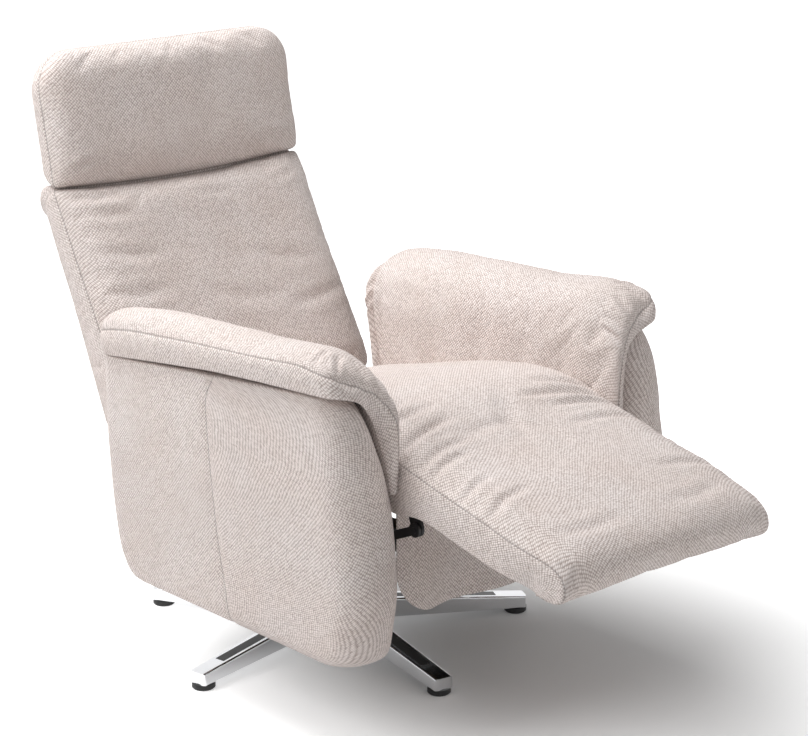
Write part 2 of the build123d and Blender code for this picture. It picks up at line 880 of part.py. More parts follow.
def arm_panel():
    """Horizontal rounded sections stacked from the lower edge to the deck, cut by the leaning deck.

    Each station is a share of the height, the shares of the length at which the section starts
    and ends, and the inset of its sides as a share of the width.
    """
    height = armrest_deck_z - armrest_bottom_z
    middle_x = (arm_gap + armrest_width) / 2
    sections = []
    for rise_share, front_share, rear_share, inset_share in armrest_station_shares:
        front = armrest_rear_y - (1 - front_share) * armrest_length
        rear = armrest_rear_y - (1 - rear_share) * armrest_length
        width = armrest_width * (1 - 2 * inset_share)
        radius = min(armrest_nose_radius, width / 2 - overrun)
        plane = Plane.XY.offset(armrest_bottom_z + rise_share * height)
        middle = Pos(middle_x, (front + rear) / 2)
        sections.append(plane * middle * RectangleRounded(width, rear - front, radius))
    body = loft(sections, ruled=True)
    deck = deck_plane(middle_x, 0, armrest_deck_z, armrest_lean)
    above = extrude(deck * Rectangle(2 * armrest_width, 2 * armrest_length), amount=armrest_width)
    return body - above


def arm_pad():
    """Rounded layers stacked on the leaning deck, drawn in at the deck and crowned at the top."""
    middle_x = (arm_gap + armrest_width) / 2
    pad_front = armrest_length * pad_length_share - pad_rear
    deck = deck_plane(middle_x, 0, armrest_deck_z, armrest_lean)
    sections = []
    for rise_share, inset_share in pad_layer_shares:
        inset = inset_share * pad_height
        width = armrest_width + pad_overhang - 2 * inset
        front = pad_front - inset * pad_end_share
        rear = pad_rear - inset * pad_end_share
        radius = min(pad_nose_radius, width / 2 - overrun)
        place = Pos(pad_overhang / 2, (rear - front) / 2)
        plane = deck.offset(rise_share * pad_height)
        sections.append(plane * place * RectangleRounded(width, front + rear, radius))
    return loft(sections, ruled=True)


# Backrest

def back_plane():
    return front_plane(back_pivot_y, back_pivot_z, back_lean)


def cushion_layers(rear, seam, crown, side_shares, crown_shares):
    """Heights and insets of a cushion: its boxing from the rear to the seam, then its crown."""
    sides = [(rear + (seam - rear) * share, crown * inset) for share, inset in side_shares]
    return sides + [(seam + crown * share, crown * inset) for share, inset in crown_shares]


def back_cushion():
    rear = stile_front + webbing_thickness
    layers = cushion_layers(rear, back_seam_depth, back_crown, back_side_shares, back_crown_shares)
    half = back_width / 2
    corners = (back_low_corner, back_high_corner)
    low, high = back_cushion_low, back_cushion_high
    body = pad(back_plane(), -half, half, low, high, corners, layers, high_share=crease_share)
    body -= cross_cylinder(*headrest_pivot, hinge_roll_radius + soft_gap, back_width)
    for side in (-1, 1):
        middle = side * hinge_strap_spacing / 2
        body -= cross_cylinder(*headrest_pivot, hinge_pocket_radius, hinge_strap_width, middle)
    return body


def hinge_roll():
    """Padded roll round the headrest hinge that closes the crease, left open where the hinge passes."""
    body = cross_cylinder(*headrest_pivot, hinge_roll_radius, back_width / 2 - 2 * rail_end_inset)
    body -= cross_cylinder(*headrest_pivot, headrest_rod_radius + running_gap, headrest_rod_half_length)
    below = back_side_plane(back_width / 2) * Pos(headrest_pivot_depth, stile_low + soft_gap)
    body -= extrude(below * Rectangle(2 * stile_low, 2 * (stile_high - stile_low)), amount=back_width)
    start = (hinge_strap_spacing - hinge_strap_width) / 2 - layer_gap
    end = hinge_lug_x + hinge_strap_width / 2 + layer_gap
    window = slab(Pos(*headrest_pivot) * Circle(2 * hinge_roll_radius), start, end)
    return body - window - mirror(window, about=Plane.YZ)


def back_stile():
    outer = back_width / 2 - rail_end_inset
    plane = back_side_plane(outer)
    middle = (stile_front - stile_depth / 2, (stile_low + stile_high) / 2)
    stile = plane * Pos(*middle) * Rectangle(stile_depth, stile_high - stile_low)
    return extrude(stile, amount=outer - bracket_outer_x)


def back_cross_rail(low):
    plane = back_side_plane(bracket_outer_x)
    middle = (stile_front - stile_depth / 2, low + stile_rail_height / 2)
    rail = plane * Pos(*middle) * Rectangle(stile_depth, stile_rail_height)
    return extrude(rail, amount=2 * bracket_outer_x)


def back_lower_rail():
    """Lower rail, shortened at both ends where the steel brackets pass."""
    body = back_cross_rail(stile_low)
    inner = slab(Rectangle(4 * back_width, 4 * back_width), bracket_inner_x - soft_gap, back_width)
    return body - inner - mirror(inner, about=Plane.YZ)


def headrest_hinge_lugs():
    """Top rail with two lugs that hold the headrest's hinge rod."""
    body = back_cross_rail(stile_high - stile_rail_height)
    rail_middle = (stile_front - stile_depth / 2, stile_high)
    pivot = (headrest_pivot_depth, headrest_pivot_up)
    profile = link_profile(rail_middle, pivot, stile_depth, stile_depth / 2, hinge_eye_radius)
    profile -= Pos(*pivot) * Circle(headrest_rod_radius)
    for side in (-1, 1):
        plane = back_side_plane(side * hinge_lug_x + hinge_strap_width / 2)
        body += extrude(plane * profile, amount=hinge_strap_width)
    return body


def hinge_rod():
    return cross_cylinder(*headrest_pivot, headrest_rod_radius, headrest_rod_half_length)


def back_bracket():
    plane = back_side_plane(bracket_outer_x)
    rear = stile_front - stile_depth
    strip = outline(
        [
            (stile_front, stile_low),
            (stile_front, back_bracket_high),
            (rear, back_bracket_high),
            (rear, stile_low),
        ],
        [0, layer_gap, layer_gap, 0],
    )
    foot = (stile_front - stile_depth / 2, stile_low)
    profile = strip + Circle(lug_radius)
    profile += link_profile((0, 0), foot, stile_depth, stile_depth / 2, stile_depth / 2)
    return extrude(plane * profile, amount=sheet_thickness)


def back_rear_panel():
    half = back_width / 2
    rear = stile_front - stile_depth
    inner = back_plane().offset(rear)
    turn = math.radians(back_rear_lean)
    top = inner.from_local_coords((0, back_cushion_high, 0))
    normal = (0, -math.cos(math.radians(back_lean) - turn), math.sin(math.radians(back_lean) - turn))
    outer = Plane(origin=top, x_dir=(1, 0, 0), z_dir=normal).offset(-back_rear_top_depth)
    reach = back_cushion_high - back_cushion_low
    sections = [inner * rear_outline(half - 2 * soft_gap, back_cushion_low, back_cushion_high, 0)]
    for share, inset_share in back_rear_shares:
        inset = inset_share * back_rear_bulge
        face = outer.offset(-share * back_rear_bulge)
        sections.append(face * rear_outline(half - 2 * soft_gap, -reach, 0, inset))
    body = loft(sections, ruled=True)
    return body - cross_cylinder(*headrest_pivot, hinge_roll_radius + soft_gap, back_width)


def rear_outline(half, low, high, inset):
    corners = (back_low_corner, back_high_corner)
    return pad_outline(-half + inset, half - inset, low + inset, high - inset, corners, inset)


# Headrest

def head_plane():
    return front_plane(headrest_pivot[0], headrest_pivot[1], head_lean)


def hinge_strap_plane(side):
    """Side-view plane of the headrest at the outer face of one hinge strap."""
    x = side * hinge_strap_spacing / 2 + hinge_strap_width / 2
    return tilted(headrest_pivot[0], headrest_pivot[1], head_lean, x)


def headrest_cushion():
    layers = cushion_layers(
        headrest_board_front,
        headrest_seam_depth,
        headrest_crown,
        headrest_side_shares,
        headrest_crown_shares,
    )
    half = back_width / 2
    corners = (headrest_low_corner, headrest_top_corner)
    low, high = headrest_low, headrest_high
    return pad(head_plane(), -half, half, low, high, corners, layers, low_share=crease_share)


def headrest_board():
    half = back_width / 2 - 2 * rail_end_inset
    low, high = headrest_board_low, headrest_high - 2 * rail_end_inset
    points = [(-half, low), (half, low), (half, high), (-half, high)]
    radii = [headrest_low_corner, headrest_low_corner, headrest_top_corner, headrest_top_corner]
    plane = head_plane().offset(headrest_board_rear)
    board = extrude(plane * outline(points, radii), amount=headrest_board_front - headrest_board_rear)
    for side in (-1, 1):
        board -= hinge_strap(side, headrest_board_front - headrest_board_rear)
    return board


def hinge_strap(side, depth):
    """Flat strap let into the board and rolled round the hinge rod."""
    plane = hinge_strap_plane(side)
    strap = outline(
        [
            (headrest_board_rear, 0),
            (headrest_board_rear + depth, 0),
            (headrest_board_rear + depth, hinge_strap_high),
            (headrest_board_rear, hinge_strap_high),
        ],
        [0, 0, 0, 0],
    )
    return extrude(plane * strap, amount=hinge_strap_width)


def hinge_straps():
    straps = []
    for side in (-1, 1):
        plane = hinge_strap_plane(side)
        foot = Pos(headrest_board_front / 2, hinge_eye_radius) * Rectangle(
            headrest_board_front, 2 * hinge_eye_radius
        )
        eye = extrude(plane * (foot + Circle(hinge_eye_radius)), amount=hinge_strap_width)
        bore = extrude(plane * Circle(headrest_rod_radius + running_gap), amount=hinge_strap_width)
        straps.append(hinge_strap(side, headrest_board_front - headrest_board_rear) + eye - bore)
    return Compound(straps)


def headrest_rear_cover():
    rise = headrest_board_rear - soft_gap - headrest_rear_depth
    layers = [
        (headrest_rear_depth + rise * share, rail_end_inset * inset) for share, inset in headrest_rear_shares
    ]
    half = back_width / 2
    corners = (headrest_low_corner, headrest_top_corner)
    return pad(head_plane(), -half, half, headrest_low, headrest_high, corners, layers)


# Export: one file for each named piece

pieces = {}
base_arms = []
for number in range(foot_count):
    heading = Rot(0, 0, first_foot_heading + number * 360 / foot_count)
    arm_body, arm_strip = star_arm()
    glide = foot_glide()
    base_arms.append(heading * (arm_body - glide))
    pieces[f"arm_inlay_{number + 1}"] = heading * arm_strip
    pieces[f"foot_glide_{number + 1}"] = heading * glide
pieces["star_base"] = star_base(base_arms)
pieces["swivel_post"] = swivel_post()
pieces["thrust_washer"] = thrust_washer()
pieces["turntable"] = turntable()
pieces["plate_bolts"] = plate_bolts()
pieces["front_cross_tube"] = cross_tube(-tube_spacing / 2) + strut_clevis()
pieces["rear_cross_tube"] = cross_tube(tube_spacing / 2)
pieces["side_plate_left"], pieces["side_plate_right"] = both_sides(side_plate())
pieces["seat_rail_left"], pieces["seat_rail_right"] = both_sides(seat_side_rail())
pieces["seat_rail_rear"] = seat_cross_rail(rail_end_inset)
pieces["seat_rail_front"] = seat_cross_rail(seat_frame_length - rail_width)
pieces["seat_webbing"] = seat_webbing()
pieces["seat_cushion"] = seat_cushion()
pieces["knee_roll"] = knee_roll()
pieces["knee_rod"] = knee_rod()
pieces["legrest_cushion"] = legrest_cushion()
pieces["legrest_board"] = legrest_board()
pieces["legrest_bracket_left"], pieces["legrest_bracket_right"] = both_sides(legrest_bracket())
pieces["leg_torque_tube"] = leg_torque_tube()
pieces["leg_crank_left"], pieces["leg_crank_right"] = both_sides(leg_crank())
pieces["push_bar_left"], pieces["push_bar_right"] = both_sides(push_bar())
pieces["back_torque_tube"] = back_torque_tube()
pieces["strut_cylinder"] = strut_cylinder()
pieces["strut_rod"] = strut_rod()
pieces["apron"] = apron()
pieces["arm_panel_left"], pieces["arm_panel_right"] = both_sides(arm_panel())
pieces["arm_pad_left"], pieces["arm_pad_right"] = both_sides(arm_pad())
pieces["back_cushion"] = back_cushion()
pieces["back_stile_left"], pieces["back_stile_right"] = both_sides(back_stile())
pieces["back_rail_lower"] = back_lower_rail()
pieces["back_rail_upper"] = headrest_hinge_lugs()
pieces["back_webbing"] = back_webbing()
pieces["back_bracket_left"], pieces["back_bracket_right"] = both_sides(back_bracket())
pieces["back_rear_panel"] = back_rear_panel()
pieces["headrest_hinge_rod"] = hinge_rod()
pieces["hinge_roll"] = hinge_roll()
pieces["headrest_cushion"] = headrest_cushion()
pieces["headrest_board"] = headrest_board()
pieces["headrest_hinge_straps"] = hinge_straps()
pieces["headrest_rear_cover"] = headrest_rear_cover()

os.makedirs("parts", exist_ok=True)
for name, piece in pieces.items():
    export_step(piece, f"parts/{name}.step")
print(len(pieces), "pieces written")
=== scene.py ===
import json
import math

import bmesh
import bpy
import numpy as np
from bpy.props import FloatProperty, IntProperty, PointerProperty, StringProperty
from mathutils import Matrix, Vector


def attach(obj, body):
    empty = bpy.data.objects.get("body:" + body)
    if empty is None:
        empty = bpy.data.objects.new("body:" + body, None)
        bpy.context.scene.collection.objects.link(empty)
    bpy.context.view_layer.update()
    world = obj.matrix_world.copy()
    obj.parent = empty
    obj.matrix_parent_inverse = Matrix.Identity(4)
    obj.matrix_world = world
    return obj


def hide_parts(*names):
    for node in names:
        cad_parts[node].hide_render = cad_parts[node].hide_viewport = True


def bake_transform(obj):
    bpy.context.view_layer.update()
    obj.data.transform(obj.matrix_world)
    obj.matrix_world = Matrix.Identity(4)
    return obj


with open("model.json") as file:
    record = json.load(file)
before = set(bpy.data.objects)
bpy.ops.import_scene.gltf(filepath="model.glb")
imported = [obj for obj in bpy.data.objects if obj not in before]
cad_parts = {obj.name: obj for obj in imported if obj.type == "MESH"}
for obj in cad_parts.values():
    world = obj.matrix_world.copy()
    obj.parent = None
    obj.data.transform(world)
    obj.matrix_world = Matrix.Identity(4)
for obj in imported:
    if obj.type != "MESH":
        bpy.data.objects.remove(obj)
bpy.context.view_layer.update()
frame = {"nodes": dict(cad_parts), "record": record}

bl_info = {
    "name": "Swivel Recliner",
    "version": (1, 0, 0),
    "blender": (4, 5, 0),
    "location": "View3D > Sidebar > Recliner",
    "description": "Dresses a swivel recliner with woven upholstery, polished base and a studio",
    "category": "Add Mesh",
}

MM = 0.001
# A distance in mm at which the weave shows nothing of a seam
NO_SEAM = 100.0
# Sines in a sum of ripples and waves in a sum of plane waves
RIPPLES = 5
WAVES = 7

# Side-view planes of the chair in mm: a point (y, z) and a lean from the upright, in degrees
BACK_PLANE = (198.0, 335.0, 29.3)
HEAD_PLANE = (466.24, 757.82, 11.6)
# Arm deck: its height at y = 0 in mm and its fall towards the rear in degrees
DECK_HEIGHT = 568.0
DECK_FALL = 5.1


# Sizes and colours that a user would change

class RECLINER_PG_sizes(bpy.types.PropertyGroup):
    """Widths, weave and cloth settling."""

    seat_half_width: FloatProperty(name="Half seat width", description="Middle of the seat to its seam",
                                   default=0.2437, min=0.1, unit="LENGTH")
    back_half_width: FloatProperty(name="Half back width", description="Middle of the back to its seam",
                                   default=0.2805, min=0.1, unit="LENGTH")
    weave_pitch: FloatProperty(name="Weave pitch", description="Distance between neighbouring loops",
                               default=0.0044, min=0.001, unit="LENGTH")
    sim_frames: IntProperty(name="Cloth frames", description="Frames that each cover settles for",
                            default=14, min=1)


class RECLINER_PG_colours(bpy.types.PropertyGroup):
    """Yarns of the cover and paper of the studio floor."""

    yarn_light: StringProperty(name="Light yarn", description="sRGB hex of the loops", default="F4ECE9")
    yarn_dark: StringProperty(name="Dark yarn", description="sRGB hex of the ground", default="AA9B95")
    paper: StringProperty(name="Studio paper", description="sRGB hex of the floor", default="EEEEEE")


# Curves and grids

def spline(points, steps):
    """Catmull-Rom curve: cubic through each point, its slope the half difference of the neighbours."""
    p = np.asarray(points, float)
    t = np.clip(np.asarray(steps, float), 0, 1) * (len(p) - 1)
    k = np.minimum(t.astype(int), len(p) - 2)
    f = (t - k)[..., None]
    padded = np.concatenate([2 * p[:1] - p[1:2], p, 2 * p[-1:] - p[-2:-1]])
    a, b, c, d = (padded[k + i] for i in range(4))
    return b + 0.5 * f * (c - a + f * (2 * a - 5 * b + 4 * c - d + f * (3 * (b - c) + d - a)))


def resample(points, count):
    """Points at equal steps of arc length along a polyline."""
    p = np.asarray(points, float)
    run = np.concatenate([[0], np.cumsum(np.linalg.norm(np.diff(p, axis=0), axis=1))])
    steps = np.linspace(0, run[-1], count)
    return np.stack([np.interp(steps, run, p[:, i]) for i in range(p.shape[1])], 1)


def arc(x, y, radius, start, end):
    """Points of a circle's arc between two headings in degrees."""
    turn = np.radians(np.linspace(start, end, 12))
    return np.stack([x + radius * np.cos(turn), y + radius * np.sin(turn)], 1)


def coons(bottom, top, left, right):
    """Coons' patch: the linear mixes of opposite sides less the bilinear mix of the corners."""
    a = np.linspace(0, 1, len(bottom))[:, None, None]
    b = np.linspace(0, 1, len(left))[None, :, None]
    mixed = (1 - b) * bottom[:, None] + b * top[:, None] + (1 - a) * left[None] + a * right[None]
    corners = ((1 - a) * (1 - b) * bottom[0] + a * (1 - b) * bottom[-1]
               + (1 - a) * b * top[0] + a * b * top[-1])
    return mixed - corners


def rounded_grid(x0, x1, y0, y1, radii, m, n):
    """Grid inside a rectangle with round corners, whose middles are the grid's own corners.

    The radii run low left, low right, high right, high left.
    """
    a, b, c, d = radii

    def side(first, second, count):
        return resample(np.concatenate([arc(*first), arc(*second)]), count)

    bottom = side((x0 + a, y0 + a, a, 225, 270), (x1 - b, y0 + b, b, 270, 315), m)
    top = side((x0 + d, y1 - d, d, 135, 90), (x1 - c, y1 - c, c, 90, 45), m)
    left = side((x0 + a, y0 + a, a, 225, 180), (x0 + d, y1 - d, d, 180, 135), n)
    right = side((x1 - b, y0 + b, b, -45, 0), (x1 - c, y1 - c, c, 0, 45), n)
    return coons(bottom, top, left, right)


def run_lengths(grid, axis):
    """Arc length along one direction of a grid, and from its far end."""
    step = np.linalg.norm(np.diff(grid, axis=axis), axis=2)
    zero = np.zeros_like(np.take(step, [0], axis=axis))
    run = np.concatenate([zero, np.cumsum(step, axis=axis)], axis=axis)
    return run, np.take(run, [-1], axis=axis) - run


def ways_in(grid):
    """Each point's way to the nearer side and to the nearer end of a grid."""
    return (np.minimum(*run_lengths(grid, axis)) for axis in (0, 1))


def crown(distance, reach, power=2.3):
    """Superellipse shoulder: 0 with an upright rise at the seam, 1 from the reach inwards."""
    t = np.clip(distance / reach, 0, 1)
    return (1 - (1 - t) ** power) ** (1 / power)


def smooth(x, low, high):
    """Smooth step: 0 below the low value, 1 above the high one, 3t squared less 2t cubed between."""
    t = np.clip((x - low) / (high - low), 0, 1)
    return t * t * (3 - 2 * t)


def ripple(x, seed, wavelength):
    """Uneven ripples along one direction: a sum of sines of near wavelengths and seeded phases."""
    rng = np.random.RandomState(seed)
    total = np.zeros_like(x)
    for _ in range(RIPPLES):
        total += np.sin(x * 2 * np.pi / (wavelength * rng.uniform(0.6, 1.6)) + rng.uniform(0, 2 * np.pi))
    return total / RIPPLES


def wander(x, y, seed, wavelength):
    """Soft unevenness over a surface: a sum of seeded plane waves."""
    rng = np.random.RandomState(seed)
    total = np.zeros_like(x)
    for _ in range(WAVES):
        heading, size = rng.uniform(0, np.pi), wavelength * rng.uniform(0.6, 1.5)
        way = x * np.cos(heading) + y * np.sin(heading)
        total += np.sin(way * 2 * np.pi / size + rng.uniform(0, 6.3))
    return total / WAVES


def fold(x, y, path, width, depth):
    """Soft valley along a polyline: depth times a bell over the distance from it, fading to its ends."""
    p = np.asarray(path, float)
    best = np.full(x.shape, 1e9)
    along = np.zeros_like(x)
    for i in range(len(p) - 1):
        run = p[i + 1] - p[i]
        t = np.clip(((x - p[i][0]) * run[0] + (y - p[i][1]) * run[1]) / (run @ run), 0, 1)
        gap = np.hypot(x - p[i][0] - t * run[0], y - p[i][1] - t * run[1])
        nearer = gap < best
        best = np.where(nearer, gap, best)
        along = np.where(nearer, (i + t) / (len(p) - 1), along)
    fade = np.sin(np.pi * np.clip(along, 0.0, 1.0)) ** 0.6
    ridge = np.exp(-((best - 1.9 * width) / width) ** 2) * 0.45
    return depth * fade * (ridge - np.exp(-(best / width) ** 2))


def folds(x, y, table):
    """Sum of a table's folds."""
    return sum(fold(x, y, path, width, depth) for path, width, depth in table)


def puckers(distance, along, depth, reach, seed, wavelength):
    """Gathers beside a seam: ripples along it that die away with the distance from it."""
    sharp = np.abs(ripple(along, seed, wavelength)) ** 0.7
    patchy = np.clip(0.35 + ripple(along, seed + 5, 210.0), 0, 1)
    return -depth * sharp * patchy * np.exp(-distance / reach) * np.clip(distance / 3.0, 0, 1)


def on_plane(plane, x, up, forward):
    """World points in mm of places on a leaning side-view plane."""
    y, z, lean = plane
    turn = math.radians(lean)
    return np.stack([x, y + up * math.sin(turn) - forward * math.cos(turn),
                     z + up * math.cos(turn) + forward * math.sin(turn)], -1)


# Meshes

def loop_of(grid):
    """The outer loop of a grid, in order."""
    return np.concatenate([grid[:-1, 0], grid[-1, :-1], grid[:0:-1, -1], grid[0, :0:-1]])


def grid_faces(index):
    """Quads of a grid of point numbers."""
    return np.stack([index[:-1, :-1], index[1:, :-1], index[1:, 1:], index[:-1, 1:]], -1).reshape(-1, 4)


def corner_values(values):
    """Values of a grid's points at its quads' corners, in the order of grid_faces."""
    m, n = values.shape[:2]
    corners = grid_faces(np.arange(m * n).reshape(m, n))
    return values.reshape(m * n, -1)[corners.ravel()]


def wrapped(values):
    """A stack of rings with each ring's first column once more at its end."""
    return np.concatenate([values, values[:, :1]], 1)


def boxed(front, rear, rings, swell, gathers, seed):
    """Cushion of a front panel, a rear panel and a boxing strip: (points, faces, uv, edge, seam loops).

    The boxing mixes the two panels' edge loops linearly and adds a half sine of swell outwards, less
    uneven ripples along the loop where the cloth gathers.
    """
    m, n = front.shape[:2]
    front_index = np.arange(m * n).reshape(m, n)
    rear_index = front_index + m * n
    loop, rear_loop = loop_of(front_index), loop_of(rear_index)
    a, b = loop_of(front), loop_of(rear)
    tangent = np.roll(a, -1, 0) - np.roll(a, 1, 0)
    out = np.cross(tangent, b - a)
    out /= np.maximum(np.linalg.norm(out, axis=1, keepdims=True), 1e-9)
    if ((a - a.mean(0)) * out).sum() < 0:
        out = -out
    t = (np.arange(1, rings) / rings)[:, None, None]
    ring = np.concatenate([[0], np.cumsum(np.linalg.norm(np.roll(a, -1, 0) - a, axis=1))])
    slant = ring[:-1, None] + 14 * t
    full = swell + puckers(np.full_like(slant, 6.0), slant, gathers, 12, seed, 34)
    strip = a * (1 - t) + b * t + out * full * np.sin(np.pi * t) ** 0.7
    points = np.concatenate([front.reshape(-1, 3), rear.reshape(-1, 3), strip.reshape(-1, 3)])
    strip_index = 2 * m * n + np.arange(strip.shape[0] * len(loop)).reshape(-1, len(loop))
    table = wrapped(np.concatenate([loop[None], strip_index, rear_loop[None]]))
    faces, uvs, edges = [grid_faces(index) for index in (front_index, rear_index, table)], [], []
    for panel in (front, rear):
        (u, u_far), (v, v_far) = run_lengths(panel, 0), run_lengths(panel, 1)
        side, end = np.minimum(u, u_far), np.minimum(v, v_far)
        uvs.append(corner_values(np.stack([u - 0.5 * (u + u_far), v], -1)))
        edges.append(corner_values(np.stack([np.minimum(side, end), np.where(side < end, v, u)], -1)))
    height = np.linalg.norm(b - a, axis=1)
    height = np.append(height, height[0])
    share = np.arange(rings + 1)[:, None] / rings
    around = ring + 0 * share
    uvs.append(corner_values(np.stack([around, share * height], -1)))
    edges.append(corner_values(np.stack([np.minimum(share, 1 - share) * height, around], -1)))
    pins = np.unique(np.concatenate([loop, rear_loop, rear_index.ravel()]))
    return points, np.concatenate(faces), np.concatenate(uvs), np.concatenate(edges), pins


def ring_stack(rings, distance=None):
    """Closed rings of points stacked into a skin, both ends drawn together: (points, faces, uv, edge).

    The distance is each point's way to the nearest seam in mm; without one, no seam is near.
    """
    k, n = rings.shape[:2]
    if distance is None:
        distance = np.full((k, n), NO_SEAM)
    (up, _), (around, _) = run_lengths(wrapped(rings), 0), run_lengths(wrapped(rings), 1)
    uv = np.stack([around, up], -1)
    edge = np.stack([wrapped(distance), around], -1)
    faces = grid_faces(wrapped(np.arange(k * n).reshape(k, n)))
    return rings.reshape(-1, 3), faces, corner_values(uv), corner_values(edge)


def add_mesh(name, points, faces, uv=None, edge=None):
    """Smooth-shaded object from points in mm, with a weave UV map and a seam map, both in metres."""
    mesh = bpy.data.meshes.new(name)
    mesh.from_pydata((np.asarray(points, float) * MM).tolist(), [], np.asarray(faces).tolist())
    for label, values in (("weave", uv), ("seam", edge)):
        if values is not None:
            layer = mesh.uv_layers.new(name=label)
            layer.data.foreach_set("uv", (np.asarray(values) * MM).astype(np.float32).ravel())
    mesh.polygons.foreach_set("use_smooth", [True] * len(mesh.polygons))
    mesh.update()
    piece = bpy.data.objects.new(name, mesh)
    bpy.context.scene.collection.objects.link(piece)
    return piece


def tidy_normals(piece, merge=0.00005):
    """Merges doubled points, then turns all faces outwards."""
    work = bmesh.new()
    work.from_mesh(piece.data)
    bmesh.ops.remove_doubles(work, verts=work.verts, dist=merge)
    bmesh.ops.recalc_face_normals(work, faces=work.faces)
    work.to_mesh(piece.data)
    work.free()
    return piece


def apply_modifier(piece, modifier):
    """Applies one modifier to the piece's mesh."""
    with bpy.context.temp_override(object=piece, active_object=piece, selected_objects=[piece]):
        bpy.ops.object.modifier_apply(modifier=modifier.name)


# Woven cover cut 1.2 per cent full, with air inside; then its furthest move in metres
COVER_CLOTH = {"quality": 5, "mass": 0.3, "tension_stiffness": 20, "compression_stiffness": 20,
               "shear_stiffness": 8, "bending_stiffness": 1.2, "air_damping": 6, "use_pressure": True,
               "uniform_pressure_force": 3.0, "shrink_min": -0.012, "vertex_group_mass": "seams"}
COVER_MOVE = 0.008


def settle(piece, pins, frames):
    """Lets a cover settle as cloth: its seams are pinned, it is cut full and is filled from inside.

    Cloth runs for the frames given. A hyperbolic tangent of each point's move then keeps it below the
    furthest move.
    """
    start = np.zeros(len(piece.data.vertices) * 3, np.float32)
    piece.data.vertices.foreach_get("co", start)
    group = piece.vertex_groups.new(name="seams")
    group.add([int(i) for i in pins], 1.0, "REPLACE")
    cloth = piece.modifiers.new("cover", "CLOTH")
    for key, value in COVER_CLOTH.items():
        setattr(cloth.settings, key, value)
    cloth.settings.effector_weights.gravity = 0
    cloth.collision_settings.use_collision = False
    cloth.point_cache.frame_start = 1
    cloth.point_cache.frame_end = frames
    for number in range(1, frames + 1):
        bpy.context.scene.frame_set(number)
    apply_modifier(piece, cloth)
    bpy.context.scene.frame_set(1)
    end = np.zeros_like(start)
    piece.data.vertices.foreach_get("co", end)
    move = (end - start).reshape(-1, 3)
    far = np.linalg.norm(move, axis=1, keepdims=True)
    move *= COVER_MOVE * np.tanh(far / COVER_MOVE) / np.maximum(far, 1e-9)
    piece.data.vertices.foreach_set("co", (start.reshape(-1, 3) + move).astype(np.float32).ravel())
    piece.data.update()
    piece.vertex_groups.clear()


def subdivide(piece):
    """Smooths the piece with one more division of every face."""
    modifier = piece.modifiers.new("smooth", "SUBSURF")
    modifier.levels = modifier.render_levels = 1
    modifier.uv_smooth = "PRESERVE_BOUNDARIES"
    apply_modifier(piece, modifier)


def cover(context, name, panels, rings, swell, merge=0.00005, gathers=0.0, seed=1):
    """Boxed cover from its front and rear panel, settled as cloth between its seams and divided once."""
    points, faces, uv, edge, pins = boxed(*panels, rings, swell, gathers, seed)
    piece = tidy_normals(add_mesh(name, points, faces, uv, edge), merge)
    settle(piece, pins, context.scene.recliner_sizes.sim_frames)
    subdivide(piece)
    return piece


def mirrored(piece, name):
    """A copy of the piece on the other side of the chair, its faces turned back outwards."""
    other = piece.copy()
    other.data = piece.data.copy()
    other.name = other.data.name = name
    bpy.context.scene.collection.objects.link(other)
    other.data.transform(Matrix.Scale(-1, 4, (1, 0, 0)))
    other.data.flip_normals()
    return other


# Materials

def linear(code):
    """sRGB hex to linear RGBA: the standard curve, a power of 2.4 above the straight start."""
    values = [int(code[i:i + 2], 16) / 255 for i in (0, 2, 4)]
    return [v / 12.92 if v <= 0.04045 else ((v + 0.055) / 1.055) ** 2.4 for v in values] + [1.0]


def add_node(tree, kind, settings=None, links=None):
    """Adds one node, with its settings and its inputs: plain values, or sockets to link from."""
    made = tree.nodes.new(kind)
    for key, value in (settings or {}).items():
        setattr(made, key, value)
    for key, value in (links or {}).items():
        if isinstance(value, bpy.types.NodeSocket):
            tree.links.new(value, made.inputs[key])
        else:
            made.inputs[key].default_value = value
    return made


def new_material(name, constants):
    """Node material with its output and a Principled shader that has the constants given."""
    material = bpy.data.materials.new(name)
    material.use_nodes = True
    tree = material.node_tree
    tree.nodes.clear()
    shader = add_node(tree, "ShaderNodeBsdfPrincipled", {}, constants)
    add_node(tree, "ShaderNodeOutputMaterial", {}, {"Surface": shader.outputs["BSDF"]})
    return material, tree, shader


def combine(tree, operation, *values):
    """Output of one maths node."""
    return add_node(tree, "ShaderNodeMath", {"operation": operation}, dict(enumerate(values))).outputs[0]


def remap(tree, value, low, high, start, end, curve="LINEAR"):
    """Output of a node that maps the range from low to high onto start to end."""
    return add_node(tree, "ShaderNodeMapRange", {"interpolation_type": curve},
                    {"Value": value, 1: low, 2: high, 3: start, 4: end}).outputs[0]


def noise(tree, vector, scale, detail):
    """Noise node over a vector."""
    return add_node(tree, "ShaderNodeTexNoise", {}, {"Vector": vector, "Scale": scale, "Detail": detail})


def blend(tree, kind, share, first, second):
    """Output of a node that mixes two colours."""
    settings = {"data_type": "RGBA", "blend_type": kind, "clamp_factor": True}
    return add_node(tree, "ShaderNodeMix", settings, {0: share, 6: first, 7: second}).outputs[2]


def emboss(tree, shader, strength, distance, height):
    """Bumps the shader's normal by a height; the distance is in metres."""
    bump = add_node(tree, "ShaderNodeBump", {},
                    {"Strength": strength, "Distance": distance, "Height": height})
    tree.links.new(bump.outputs[0], shader.inputs["Normal"])


def seen_directly(tree):
    """1 for rays of the camera, in a mirror or through glass; 0 for the diffuse ones that light."""
    path = add_node(tree, "ShaderNodeLightPath")
    mirror = combine(tree, "MAXIMUM", path.outputs["Is Camera Ray"], path.outputs["Is Glossy Ray"])
    return combine(tree, "MAXIMUM", mirror, path.outputs["Is Transmission Ray"])


